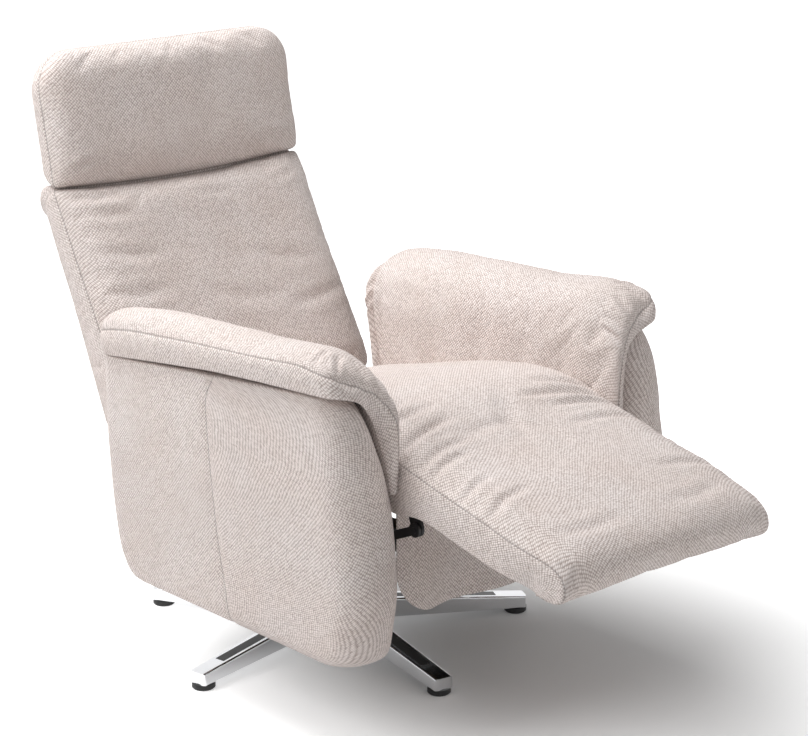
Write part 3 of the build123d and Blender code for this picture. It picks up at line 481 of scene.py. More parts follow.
def woven_upholstery(name, pitch, light, dark):
    """Chenille and polyester hopsack in two tones: light loops stand in rows between darker threads.

    The loops give a diamond of soft dots one pitch apart, each a little off its place and of its own
    tone; the pile scatters light at the rim, so the cloth has sheen and no gloss. The seam map's first
    value is the way to the nearest seam: there the cloth dips, and its colour darkens in a thin line of
    painted shade for the seam's groove.
    """
    material, tree, shader = new_material(name, {
        "Roughness": 0.92, "Specular IOR Level": 0.25, "Sheen Weight": 0.25, "Sheen Roughness": 0.5,
        "Sheen Tint": linear("F3E9E4")})
    uv = add_node(tree, "ShaderNodeUVMap", {"uv_map": "weave"}).outputs[0]
    warp = noise(tree, uv, 60.0, 2.0).outputs["Color"]
    bent = add_node(tree, "ShaderNodeVectorMath", {"operation": "MULTIPLY_ADD"},
                    {0: warp, 1: (0.0022, 0.0022, 0.0), 2: uv})
    diagonal = add_node(tree, "ShaderNodeMapping", {},
                        {"Vector": bent.outputs[0], "Rotation": (0.0, 0.0, math.radians(45))})
    cells = add_node(tree, "ShaderNodeTexVoronoi", {"voronoi_dimensions": "2D", "feature": "F1"},
                     {"Vector": diagonal.outputs[0], "Scale": 1 / pitch, "Randomness": 0.22})
    loops = remap(tree, cells.outputs["Distance"], 0.10, 0.66, 1.0, 0.0, "SMOOTHSTEP")
    own = add_node(tree, "ShaderNodeSeparateXYZ", {}, {0: cells.outputs["Color"]}).outputs[0]
    uneven = combine(tree, "MULTIPLY_ADD", own, 0.3, loops)
    pile = combine(tree, "MULTIPLY_ADD", noise(tree, uv, 900.0, 3.0).outputs["Fac"], 0.5, uneven)
    tone = remap(tree, pile, 0.3, 1.35, 0.0, 1.0)
    yarns = blend(tree, "MIX", tone, linear(dark), linear(light))
    mottle = remap(tree, noise(tree, uv, 9.0, 3.0).outputs["Fac"], 0.3, 0.7, 0.0, 1.0)
    warm = blend(tree, "MULTIPLY", mottle, yarns, linear("FCF9F7"))
    seam = add_node(tree, "ShaderNodeUVMap", {"uv_map": "seam"}).outputs[0]
    way = combine(tree, "ABSOLUTE", add_node(tree, "ShaderNodeSeparateXYZ", {}, {0: seam}).outputs[0])
    # Painted shade: the colour darkens to 0.66 within 2 mm of a seam, for the shade in its groove
    line = remap(tree, way, 0.0003, 0.0020, 0.66, 1.0, "SMOOTHSTEP")
    dip = remap(tree, way, 0.0, 0.0035, -1.8, 0.0, "SMOOTHSTEP")
    emboss(tree, shader, 0.7, 0.0009, combine(tree, "ADD", pile, dip))
    tree.links.new(blend(tree, "MULTIPLY", 1.0, warm, line), shader.inputs["Base Color"])
    return material


def grained(name, constants, grain, detail, roughness, spread, strength, depth):
    """Material whose roughness and bump follow one fine noise over the piece."""
    material, tree, shader = new_material(name, constants)
    place = add_node(tree, "ShaderNodeTexCoord").outputs["Object"]
    marks = noise(tree, place, grain, detail).outputs["Fac"]
    rough = remap(tree, marks, 0.3, 0.7, roughness, roughness + spread)
    tree.links.new(rough, shader.inputs["Roughness"])
    emboss(tree, shader, strength, depth, marks)
    return material


def metal(name, code, roughness, scratch, grain):
    """Bare or polished metal: a mirror of the studio, broken by fine marks in its roughness."""
    constants = {"Base Color": linear(code), "Metallic": 1.0}
    return grained(name, constants, grain, 6.0, roughness, scratch, 0.08, 0.0002)


def coated(name, code, roughness, grain, depth):
    """Powder coat or moulded plastic: dark, slightly orange-peeled, with a broad soft highlight."""
    constants = {"Base Color": linear(code), "IOR": 1.5}
    return grained(name, constants, grain, 3.0, roughness, 0.12, 0.3, depth)


def planed_timber(name):
    """Planed beech and plywood: pale growth lines about 6 mm apart, stretched along the rail."""
    material, tree, shader = new_material(name, {"Roughness": 0.62})
    place = add_node(tree, "ShaderNodeTexCoord").outputs["Object"]
    stretch = add_node(tree, "ShaderNodeMapping", {}, {"Vector": place, "Scale": (1.0, 0.12, 1.0)})
    lines = noise(tree, stretch.outputs[0], 160.0, 5.0).outputs["Fac"]
    wood = blend(tree, "MIX", lines, linear("B58E60"), linear("D9B98A"))
    tree.links.new(wood, shader.inputs["Base Color"])
    emboss(tree, shader, 0.2, 0.0003, lines)
    return material


def elastic_webbing(name):
    """Woven elastic band: black, with ribs of latex thread 2 mm apart, a sine of the place along it."""
    material, tree, shader = new_material(name, {"Base Color": linear("1B1B1C"), "Roughness": 0.8})
    place = add_node(tree, "ShaderNodeTexCoord").outputs["Object"]
    along = add_node(tree, "ShaderNodeSeparateXYZ", {}, {0: place}).outputs[1]
    turns = combine(tree, "MULTIPLY", along, 2 * math.pi / 0.002)
    emboss(tree, shader, 0.5, 0.0004, combine(tree, "SINE", turns))
    return material


MADE = {}


def cloth():
    """The chair's one cover fabric, made once."""
    if "cloth" not in MADE:
        colours = bpy.context.scene.recliner_colours
        sizes = bpy.context.scene.recliner_sizes
        MADE["cloth"] = woven_upholstery("woven_hopsack_cover", sizes.weave_pitch, colours.yarn_light,
                                         colours.yarn_dark)
    return MADE["cloth"]


def dress(piece, body, nodes):
    """Gives a piece its cloth and its body, and hides the CAD nodes that it stands for.

    A piece without a body is left unattached.
    """
    piece.data.materials.clear()
    piece.data.materials.append(cloth())
    if body:
        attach(piece, body)
    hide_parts(*nodes)


# Soft pieces

# Sag in mm of the crease between headrest and back at the chair's middle
DROOP = 13.0
# Lower and upper edge of the headrest's front and rear panel up its plane, in mm
HEAD_FRONT_SPAN = (24.0, 266.0)
HEAD_REAR_SPAN = (38.0, 259.0)
HEAD_SEAM = 33.0
HEAD_CROWN = 31.0
# Folds of a panel: a path over it in mm, a width and a depth
HEAD_FOLDS = (
    ([(-262, 48), (-225, 62), (-180, 66)], 7, 4.0),
    ([(-250, 38), (-205, 47), (-150, 48)], 6, 3.0),
    ([(250, 40), (205, 60), (165, 64)], 7, 2.5),
)


def sag(x, half, way, reach):
    """Parabola between the sides, as deep as the droop in the middle, dying away from the crease."""
    return DROOP * (1 - (x / half) ** 2) * np.exp(-way / reach)


def headrest_shape(half):
    """Front panel: seam height plus a superellipse crown over a rounded grid; rear panel nearly flat.

    The lower edge hangs in a parabola between the sides, over the back's upper edge.
    """
    flat = rounded_grid(-half, half, *HEAD_FRONT_SPAN, (10, 10, 74, 74), 110, 50)
    x, up = flat[..., 0], flat[..., 1]
    side, ends = ways_in(flat)
    v = run_lengths(flat, 1)[0]
    front = HEAD_SEAM + HEAD_CROWN * crown(side, 62) * crown(ends, 58) + 1.2 * wander(x, up, 4, 190.0)
    front += puckers(side, up, 2.0, 16, 11, 30) + puckers(v, x, 2.6, 20, 12, 34)
    front += folds(x, up, HEAD_FOLDS)
    rear = rounded_grid(-half + 8, half - 8, *HEAD_REAR_SPAN, (18, 18, 70, 70), 110, 50)
    rear_x, rear_up = rear[..., 0], rear[..., 1]
    side, ends = ways_in(rear)
    depth = -3 - 8 * crown(side, 50) * crown(ends, 50)
    rear_v = run_lengths(rear, 1)[0]
    return (on_plane(HEAD_PLANE, x, up - sag(x, half, v, 70), front),
            on_plane(HEAD_PLANE, rear_x, rear_up - 0.15 * sag(rear_x, half, rear_v, 70), depth))


# Half length and radius in mm of the roll in the crease
ROLL_REACH = 278.0
ROLL_RADIUS = 29.0
# Lower and upper edge of the back's front and rear panel up its plane, in mm
BACK_FRONT_SPAN = (58.0, 511.0)
BACK_REAR_SPAN = (63.0, 502.5)
BACK_SEAM = 7.0
BACK_CROWN = 33.0
# Depth in mm of the back's rear panel behind its plane, by place up the plane
BACK_REAR = np.array([(58, -76), (135, -69), (219, -61), (312, -52), (400, -49), (488, -43),
                      (508, -40)], float)
BACK_FOLDS = (
    ([(-268, 486), (-215, 478), (-150, 482)], 8, 3.4),
    ([(-262, 455), (-205, 440), (-140, 436)], 9, 3.2),
    ([(-40, 470), (20, 455), (80, 452)], 10, 2.4),
    ([(262, 480), (215, 462), (170, 455)], 8, 3.0),
    ([(-266, 380), (-190, 360), (-110, 352)], 11, 3.0),
    ([(-266, 300), (-200, 286), (-120, 284)], 12, 2.8),
    ([(60, 330), (140, 300), (230, 292)], 13, 2.6),
    ([(-60, 270), (30, 240), (130, 232)], 14, 2.4),
    ([(262, 230), (190, 214), (110, 208)], 12, 3.0),
    ([(-262, 215), (-180, 196), (-80, 190)], 12, 3.0),
)


def back_shape(half):
    """Front panel: a superellipse crown on a seam before the plane; the boxing deepens to the seat."""
    flat = rounded_grid(-half, half, *BACK_FRONT_SPAN, (34, 34, 8, 8), 100, 80)
    x, up = flat[..., 0], flat[..., 1]
    side, _ = ways_in(flat)
    v, v_far = run_lengths(flat, 1)
    front = BACK_SEAM + BACK_CROWN * crown(side, 95) * crown(v_far, 60) * crown(v, 70)
    front += 1.6 * wander(x, up, 9, 230.0)
    front += puckers(side, up, 2.6, 22, 21, 34) + puckers(v_far, x, 3.0, 26, 22, 40)
    front += folds(x, up, BACK_FOLDS)
    rear = rounded_grid(-half + 5, half - 5, *BACK_REAR_SPAN, (34, 34, 14, 14), 100, 80)
    rear_x, rear_up = rear[..., 0], rear[..., 1]
    side, ends = ways_in(rear)
    rear_far = run_lengths(rear, 1)[1]
    depth = np.interp(rear_up, BACK_REAR[:, 0], BACK_REAR[:, 1]) - 7 * crown(side, 60) * crown(ends, 60)
    return (on_plane(BACK_PLANE, x, up - sag(x, half, v_far, 90), front),
            on_plane(BACK_PLANE, rear_x, rear_up - 0.2 * sag(rear_x, half, rear_far, 90), depth))


# Side view of the seat and footrest in mm: the side seam from the rear over the knee round the tip
SEAM_LINE = [(185, 396), (70, 427), (-52, 452), (-180, 483), (-298, 503), (-378, 501), (-450, 484),
             (-540, 461), (-637, 438), (-735, 413), (-786, 400), (-810, 385), (-816, 363), (-806, 346),
             (-782, 342), (-755, 346)]
UNDER_LINE = [(184, 330), (70, 346), (-52, 367), (-180, 390), (-298, 410), (-378, 405), (-440, 394.5),
              (-505, 399.5), (-600, 379.5), (-690, 360), (-722, 353.5), (-738, 350), (-746, 348.5),
              (-750, 347.5), (-752, 347), (-753, 346.6)]
CROWN_LINE = [10, 20, 27, 29, 28, 24, 17, 20, 23, 21, 16, 10, 5, 2, 1, 0]
SEAT_FOLDS = (
    ([(236, 640), (150, 612), (60, 600)], 8, 7.0), ([(238, 668), (170, 650), (100, 642)], 7, 6.0),
    ([(236, 610), (180, 582), (120, 566)], 8, 6.0), ([(-236, 640), (-160, 618), (-90, 606)], 8, 7.0),
    ([(-238, 690), (-170, 672), (-110, 668)], 8, 5.5), ([(-236, 720), (-186, 706), (-140, 704)], 7, 5.0),
    ([(238, 720), (170, 704), (80, 702)], 9, 5.0), ([(-30, 640), (20, 690), (40, 760)], 14, 3.6),
    ([(60, 560), (0, 640), (-20, 720)], 16, 3.0), ([(-236, 860), (-190, 838), (-130, 830)], 8, 5.0),
    ([(-238, 800), (-200, 782), (-160, 776)], 7, 4.5), ([(236, 900), (170, 880), (110, 872)], 10, 4.5),
    ([(-236, 560), (-180, 540), (-120, 532)], 8, 5.0), ([(-236, 590), (-170, 572), (-90, 566)], 8, 6.0),
    ([(-120, 660), (-60, 650), (10, 656)], 12, 3.4), ([(-200, 950), (-120, 965), (-40, 960)], 12, 3.4),
    ([(40, 962), (120, 968), (200, 950)], 12, 3.4),
)
# Share by which the cover narrows round the footrest's tip
TIP_DRAW = 0.045


def seat_shape(half):
    """One cover over seat and footrest: a side-view line carried across, raised by a crown.

    The crown's height is a superellipse of the distance from the side seams, square to the line.
    """
    m, n = 84, 190
    steps = np.linspace(0, 1, 600)
    fine = spline(SEAM_LINE, steps)
    line = resample(fine, n)
    share = np.linspace(0, 1, n)
    run = np.concatenate([[0], np.cumsum(np.linalg.norm(np.diff(fine, axis=0), axis=1))])
    knots = np.interp(share * run[-1], run, steps)
    rise = spline(np.array(CROWN_LINE)[:, None], knots)[:, 0]
    slope = np.gradient(line, axis=0)
    slope /= np.linalg.norm(slope, axis=1, keepdims=True)
    x = np.linspace(-1, 1, m)[:, None] * half * np.ones(n)
    along = share * run[-1] * np.ones((m, 1))
    side = half - np.abs(x)
    height = rise * (0.55 * crown(side, 60) + 0.45 * (1 - (x / half) ** 2))
    height += 1.2 * wander(x, along, 31, 210.0) * crown(side, 40)
    gathers = puckers(side, along, 3.2, 26, 41, 30) + folds(x, along, SEAT_FOLDS)
    height += gathers * np.clip(side / 8, 0, 1)
    pull = 1 - TIP_DRAW * smooth(share, 0.80, 0.92)
    top = np.stack([x * pull, line[:, 0] + height * slope[:, 1], line[:, 1] - height * slope[:, 0]], -1)
    under = spline(UNDER_LINE, knots)
    low = np.stack([x * pull * 0.994, under[:, 0] + 0 * x, under[:, 1] + 0 * x], -1)
    return top, low


# Arm pad in mm: heights over the deck of its outer seam and of its strip's lower edge, by place y
PAD_SEAM = [(-470, 38), (-402, 44), (-368, 49), (-262, 49), (-96, 52), (80, 52), (150, 47), (205, 38)]
PAD_EDGE = [(-470, 2), (-416, 2), (-259, 7), (-129, 9), (7, 5), (120, 1), (205, -2)]
# The seam over the nose and down the inner front, by pattern place u: u, x, y, height over the deck
PAD_NOSE = [(0, 371, -436, 36), (30, 342, -431, 22), (45, 330, -431, 17), (68, 307, -440, 8),
            (86, 288, -447, -3), (104, 271, -453, -22), (121, 261, -458, -38), (142, 254, -462, -56),
            (170, 251, -462, -80), (208, 250, -461, -105), (255, 250, -460, -136),
            (314, 251, -459, -168)]
PAD_NOSE_LOW = [(0, 367, -446, 2), (30, 343, -445, -3), (45, 328, -446, -8), (68, 311, -441, -17),
                (86, 298, -437, -32), (104, 289, -436, -46), (121, 282, -437, -62),
                (142, 279, -438, -76), (170, 274, -442, -98), (208, 270, -446, -118),
                (255, 266, -450, -146), (314, 262, -452, -172)]
# The rear edge leans forward as it goes down, clear of the back where it stands upright
PAD_TAIL = [(0, 203), (90, 204), (115, 203), (130, 199), (150, 194), (175, 187), (205, 182),
            (235, 178), (255, 176), (314, 174)]
# Height in mm of the pad's cushion over its seams, by pattern place u
PAD_LIFT = [(0, 28), (48, 26), (80, 16), (110, 9), (150, 6), (314, 4)]
PAD_REACH = 314.0
PAD_LENGTH = 645.0
# Place across the chair of the pad's outer seam
PAD_OUTER = 371.0
# Turn over the arm's inner edge: place across the chair, radius, and place 200 mm further down
PAD_TURN = (308.0, 60.0, 248.0)
STRIP_TURN = (300.0, 18.0, 264.0)
# Height over the deck of the lowest point of the strip's lower edge
STRIP_FOOT = -170.0
# Folds near the nose, then the deep one behind the sitter's elbow and two small ones beside it
PAD_FOLDS = (
    ([(18, -436), (40, -408), (60, -388)], 5, 3.6), ([(2, -396), (24, -382), (52, -374)], 5, 3.0),
    ([(72, -446), (74, -420), (70, -396)], 6, 3.8), ([(98, -452), (104, -428), (108, -404)], 6, 4.2),
    ([(122, -460), (126, -436), (132, -410)], 6, 3.6),
    ([(60, 192), (118, 178), (196, 167), (290, 150), (340, 140)], 8, 13.0),
    ([(110, 182), (130, 190), (150, 197)], 4, 3.2), ([(134, 176), (160, 188), (182, 196)], 4, 3.2),
)


def deck_height(y):
    """Height of the leaning arm deck at a place along the arm."""
    return DECK_HEIGHT - y * math.tan(math.radians(DECK_FALL))


def from_table(table, where, column=1):
    """Smooth value of a table's column: straight between its rows, its corners rounded by a mean."""
    rows = np.array(table, float)
    spread = (rows[-1, 0] - rows[0, 0]) * 0.03
    shifts = np.linspace(-1, 1, 9) * spread
    return np.mean([np.interp(where + s, rows[:, 0], rows[:, column]) for s in shifts], axis=0)


def pad_base(u, turn, top):
    """Level from the seam to the turn, round a quarter circle, then straight down, with its normal."""
    turn_x, bend, foot_x = turn
    level = PAD_OUTER - turn_x
    angle = np.clip((u - level) / bend, 0, math.pi / 2)
    down = np.maximum(u - level - bend * math.pi / 2, 0)
    x = PAD_OUTER - np.minimum(u, level) - bend * np.sin(angle) + (foot_x - turn_x + bend) * down / 200
    height = top - bend * (1 - np.cos(angle)) - down
    return x, height, -np.sin(angle), np.cos(angle)


def pad_shape():
    """Top panel: a flat pattern with round outer corners, laid over the arm and down its inner side.

    Across the pattern u runs level from the outer seam, round a quarter circle, then straight down. Near
    the nose it eases by an ellipse into the nose seam, and a superellipse of the distance from the
    pattern's edges lifts it into a cushion. The lower panel follows the strip's other edge.
    """
    m, n = 92, 168
    flat = rounded_grid(0, PAD_REACH, 0, PAD_LENGTH, (30, 3, 3, 46), m, n)
    u, v = flat[..., 0], flat[..., 1]
    (side, _), (ahead, behind) = run_lengths(flat, 0), run_lengths(flat, 1)
    share = v / PAD_LENGTH
    rows = [from_table(PAD_NOSE, u, k) for k in (1, 2, 3)]
    tail = from_table(PAD_TAIL, u)
    y = rows[1] * (1 - share) + tail * share
    x, over, nx, nz = pad_base(u, PAD_TURN, from_table(PAD_SEAM, y))
    inner = smooth(u, 110, 170)
    hold = (1 - inner) * (1 - crown(v, 95, 1.7)) + inner * (1 - crown(v, 46, 2.0))
    x, over = x + (rows[0] - x) * hold, over + (rows[2] - over) * hold
    ends = crown(ahead, 60 - 22 * inner) * crown(behind, 58)
    raised = crown(side, 52) * ends
    lift = from_table(PAD_LIFT, u) * raised * (0.76 + 0.4 * smooth(y, -260, 80))
    lift += 1.3 * wander(u, y, 54, 170.0) * raised
    lift += puckers(ahead, u, 5.5, 26, 51, 22) * (1 - smooth(u, 120, 160))
    lift += puckers(behind, u, 3.4, 22, 52, 28) + puckers(side, y, 2.4, 18, 53, 32)
    lift += folds(u, y, PAD_FOLDS)
    top = np.stack([x + lift * nx, y, deck_height(y) + over + lift * nz], -1)
    low = [from_table(PAD_NOSE_LOW, u, k) for k in (1, 2, 3)]
    low_y = low[1] * (1 - share) + (tail - 3) * share
    low_x, low_over, _, _ = pad_base(u, STRIP_TURN, from_table(PAD_EDGE, low_y))
    low_x = low_x - 3 * (1 - smooth(u, 40, 90))
    low_over = low_over + (STRIP_FOOT - low_over.min()) * smooth(u, 120, PAD_REACH)
    low_x, low_over = low_x + (low[0] - low_x) * hold, low_over + (low[2] - low_over) * hold
    return top, np.stack([low_x, low_y, deck_height(low_y) + low_over], -1)


# Arm side in mm: its inner and outer face, front end, length, foot and height
PANEL_INNER, PANEL_OUTER = 250.0, 370.0
PANEL_FRONT, PANEL_LENGTH = -492.0, 690.0
PANEL_FOOT, PANEL_HEIGHT = 152.0, 416.0
PANEL_RADIUS = 50.0
# Beyond this place across the chair a point belongs to the outer face, where the seam shows
SEAM_FACE = 331.0
# Share of the first and last ring that is left where the side is closed: across, along and upwards
END_SHARE = (0.0, 0.86, 1.0)
# Place along the arm of the outer face's long seam, by height
PANEL_SEAM = [(150, -166), (217, -160), (301, -144), (402, -131), (486, -117), (530, -109), (550, -112),
              (572, -126)]
PANEL_STATIONS = [
    # height share, front share, rear share, inset in mm, reach of the inner face in mm
    (0.000, 0.105, 0.865, 34.0, 4.0), (0.004, 0.090, 0.878, 23.0, 3.0), (0.016, 0.064, 0.903, 11.0, 2.0),
    (0.038, 0.038, 0.923, 4.0, 2.0), (0.080, 0.026, 0.938, 0.5, 2.0), (0.168, 0.016, 0.958, -1.5, 2.0),
    (0.296, 0.004, 0.969, -3.0, 2.0), (0.450, 0.008, 0.979, -4.0, 2.0), (0.632, 0.023, 0.987, -4.0, 2.0),
    (0.710, 0.031, 0.991, -3.5, 5.0), (0.798, 0.034, 0.996, -2.0, 13.0),
    (0.860, 0.040, 0.998, -1.0, 20.0), (0.969, 0.060, 0.999, 2.0, 32.0),
    (1.060, 0.092, 0.998, 5.0, 40.0), (1.120, 0.130, 0.994, 9.0, 44.0),
]


def panel_shape():
    """Arm side: rounded-rectangle rings stacked upwards, the upper ones leaving room for the pad inside.

    Gives the rings and each point's signed way to the outer face's seam.
    """
    rows, around = 96, 240
    table = spline(np.array(PANEL_STATIONS), np.linspace(0, 1, rows))
    turn = np.linspace(0, 2 * np.pi, 1200, endpoint=False)
    rings = []
    for share, front, rear, inset, inner in table:
        x0, x1 = PANEL_INNER + inner, PANEL_OUTER - inset
        y0, y1 = PANEL_FRONT + front * PANEL_LENGTH, PANEL_FRONT + rear * PANEL_LENGTH
        half = (x1 - x0) / 2
        radius = min(PANEL_RADIUS, half - 1.0)
        straight = (y1 - y0) / 2 - radius
        cx = np.cos(turn) * radius + np.sign(np.cos(turn)) * (half - radius)
        cy = np.sin(turn) * radius + np.sign(np.sin(turn)) * straight
        loop = resample(np.concatenate([np.stack([cx, cy], 1), [[cx[0], cy[0]]]]), around + 1)[:-1]
        y = loop[:, 1] + (y0 + y1) / 2
        room = deck_height(y) - 1 - PANEL_FOOT
        z = PANEL_FOOT + share * PANEL_HEIGHT * np.minimum(1.0, room / (1.12 * PANEL_HEIGHT))
        rings.append(np.stack([(x0 + x1) / 2 + loop[:, 0], y, z], 1))
    rings = np.array(rings)
    y, z = rings[..., 1], rings[..., 2]
    outer = np.clip((rings[..., 0] - 330) / 30, 0, 1)
    gap = y - from_table(PANEL_SEAM, z)
    bumps = -3.4 * np.exp(-(gap / 8.0) ** 2) + 1.4 * wander(y, z, 61, 220.0)
    bumps += puckers(np.abs(gap), z, 1.8, 20, 62, 40)
    rings[..., 0] += outer * bumps
    gap = np.where(rings[..., 0] > SEAM_FACE, gap, NO_SEAM)
    centre = rings[[0, -1]].mean(1, keepdims=True)
    ends = centre + (rings[[0, -1]] - centre) * END_SHARE
    none = np.full_like(gap[:1], NO_SEAM)
    return np.concatenate([ends[:1], rings, ends[1:]]), np.concatenate([none, gap, none])


# Apron in mm: its flat width and drop, the radius of its lower corners, its upper edge and its place
APRON_WIDTH, APRON_DROP, APRON_CORNER = 380.0, 208.0, 84.0
APRON_TOP, APRON_PLACE = 392.0, -386.0


class RECLINER_OT_headrest(bpy.types.Operator):
    """Headrest cover: a crowned front panel, a boxing strip and a flat rear panel."""

    bl_idname = "recliner.headrest"
    bl_label = "Headrest"

    def execute(self, context):
        half = context.scene.recliner_sizes.back_half_width / MM
        piece = cover(context, "headrest_cover", headrest_shape(half), 8, 3.0)
        dress(piece, "headrest", ("headrest_cushion", "headrest_rear_cover"))
        return {"FINISHED"}


class RECLINER_OT_back(bpy.types.Operator):
    """Back cover and the roll that fills the crease above it.

    The cover has a crowned front panel, boxing that deepens downwards and a tight rear panel. The roll
    is a cylinder round the headrest's hinge, its ends drawn in by a superellipse.
    """

    bl_idname = "recliner.back"
    bl_label = "Back"

    def execute(self, context):
        half = context.scene.recliner_sizes.back_half_width / MM
        piece = cover(context, "back_cover", back_shape(half), 12, 3.0)
        dress(piece, "backrest", ("back_cushion", "back_rear_panel"))
        turn = np.linspace(0, 2 * np.pi, 41)[:-1]
        x = ROLL_REACH * np.sin(np.linspace(-np.pi / 2, np.pi / 2, 121))[:, None]
        bulge = ROLL_RADIUS * crown(ROLL_REACH - np.abs(x), 7, 2.0)
        rings = np.stack([x + 0 * turn, HEAD_PLANE[0] + bulge * np.cos(turn),
                          HEAD_PLANE[1] + bulge * np.sin(turn)], -1)
        points, faces, uv, edge = ring_stack(rings)
        roll = tidy_normals(add_mesh("crease_roll", points, faces, uv, edge))
        dress(roll, "backrest", ("hinge_roll",))
        return {"FINISHED"}


class RECLINER_OT_seat(bpy.types.Operator):
    """Seat and footrest cover: one cloth that runs over the knee."""

    bl_idname = "recliner.seat"
    bl_label = "Seat and footrest"

    def execute(self, context):
        half = context.scene.recliner_sizes.seat_half_width / MM
        piece = cover(context, "seat_cover", seat_shape(half), 10, 4.0, merge=0.0)
        dress(piece, None, ("seat_cushion", "legrest_cushion", "knee_roll"))
        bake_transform(piece)
        return {"FINISHED"}


class RECLINER_OT_arms(bpy.types.Operator):
    """Arms: a side with a long seam, and a pad whose top panel rolls down the inner side to the seat."""

    bl_idname = "recliner.arms"
    bl_label = "Arms"

    def execute(self, context):
        pad = cover(context, "arm_pad_cover_left", pad_shape(), 9, 5.0, merge=0.0, gathers=3.0, seed=57)
        rings, gap = panel_shape()
        points, faces, uv, edge = ring_stack(rings, gap)
        side = tidy_normals(add_mesh("arm_side_cover_left", points, faces, uv, edge))
        subdivide(side)
        for piece, name, node in ((pad, "arm_pad_cover_right", "arm_pad"),
                                  (side, "arm_side_cover_right", "arm_panel")):
            other = mirrored(piece, name)
            dress(piece, "chassis", (node + "_left",))
            dress(other, "chassis", (node + "_right",))
        return {"FINISHED"}


class RECLINER_OT_apron(bpy.types.Operator):
    """Apron: a cloth cut with round lower corners, hung from the front rail in soft folds.

    The folds are a sine across the cloth that grows downwards, with uneven ripples on it.
    """

    bl_idname = "recliner.apron"
    bl_label = "Apron"

    def execute(self, context):
        flat = rounded_grid(-APRON_WIDTH / 2, APRON_WIDTH / 2, APRON_TOP - APRON_DROP, APRON_TOP,
                            (APRON_CORNER, APRON_CORNER, 2, 2), 110, 64)
        x, z = flat[..., 0], flat[..., 1]
        drop = np.clip((APRON_TOP - z) / APRON_DROP, 0, 1)
        waves = 7.0 * drop ** 1.2 * np.sin(x / 34.0 + 0.6 * np.sin(z / 60.0))
        y = APRON_PLACE - waves - 3.0 * drop * ripple(x, 71, 130.0)
        front = np.stack([x, y, z], -1)
        (u, u_far), (v, _) = run_lengths(front, 0), run_lengths(front, 1)
        near = np.minimum(np.minimum(u, u_far), v)
        # The hem's stitching runs 14 mm inside the edge, where the cloth dips and its colour darkens in
        # a thin line of painted shade
        edge = np.stack([np.abs(near - 14) + 1.0, v], -1)
        faces = grid_faces(np.arange(x.size).reshape(x.shape))
        uv = corner_values(flat)
        piece = add_mesh("seat_apron", front.reshape(-1, 3), faces, uv, corner_values(edge))
        thick = piece.modifiers.new("cloth", "SOLIDIFY")
        thick.thickness = 0.0016
        thick.offset = 0
        apply_modifier(piece, thick)
        dress(piece, "chassis", ("apron",))
        return {"FINISHED"}


class RECLINER_OT_hardware(bpy.types.Operator):
    """Base, swivel, frame and mechanism: the CAD nodes with their real finishes."""

    bl_idname = "recliner.hardware"
    bl_label = "Base and mechanism"

    def execute(self, context):
        finishes = {
            # Die-cast aluminium, polished and clear-lacquered: bright, with a slightly soft mirror
            "base_aluminium": metal("polished_cast_aluminium", "DADBDD", 0.08, 0.07, 240.0),
            # Satin ABS strip let into each arm
            "black_inlay": coated("satin_abs_inlay", "0C0C0D", 0.30, 900.0, 0.0001),
            # Injection-moulded polypropylene glide
            "black_glide": coated("moulded_polypropylene", "101011", 0.5, 700.0, 0.0002),
            # Natural acetal thrust washer
            "bearing_plastic": coated("turned_acetal", "D8D5CB", 0.45, 500.0, 0.0001),
            # Zinc-plated steel rod and bolts
            "bright_steel": metal("zinc_plated_steel", "B9BCC0", 0.24, 0.15, 500.0),
            # Pressed steel with satin black powder coat
            "black_steel": coated("black_powder_coat", "0E0E10", 0.42, 1200.0, 0.0002),
            "timber": planed_timber("planed_beech"),
            "webbing": elastic_webbing("elastic_webbing"),
        }
        slots = {part["node"]: part["material_slot"] for part in frame["record"]["subparts"]}
        # Moulded foam under the covers, which the covers stand for
        foam = coated("hidden_foam", "D9CFC8", 0.9, 300.0, 0.0005)
        for name, node in frame["nodes"].items():
            node.data.materials.clear()
            node.data.materials.append(finishes.get(slots[name], foam))
        return {"FINISHED"}


# The photo's camera: heading and height in degrees, place to its right, upwards and backwards in
# metres, and focal length as a share of the picture's width
CAMERA_AZIMUTH, CAMERA_ELEVATION = -41.62, 16.29
CAMERA_PLACE = (0.12697, 0.47469, 4.621)
FOCAL_SHARE = 2533 / 808
SENSOR_WIDTH = 36.0


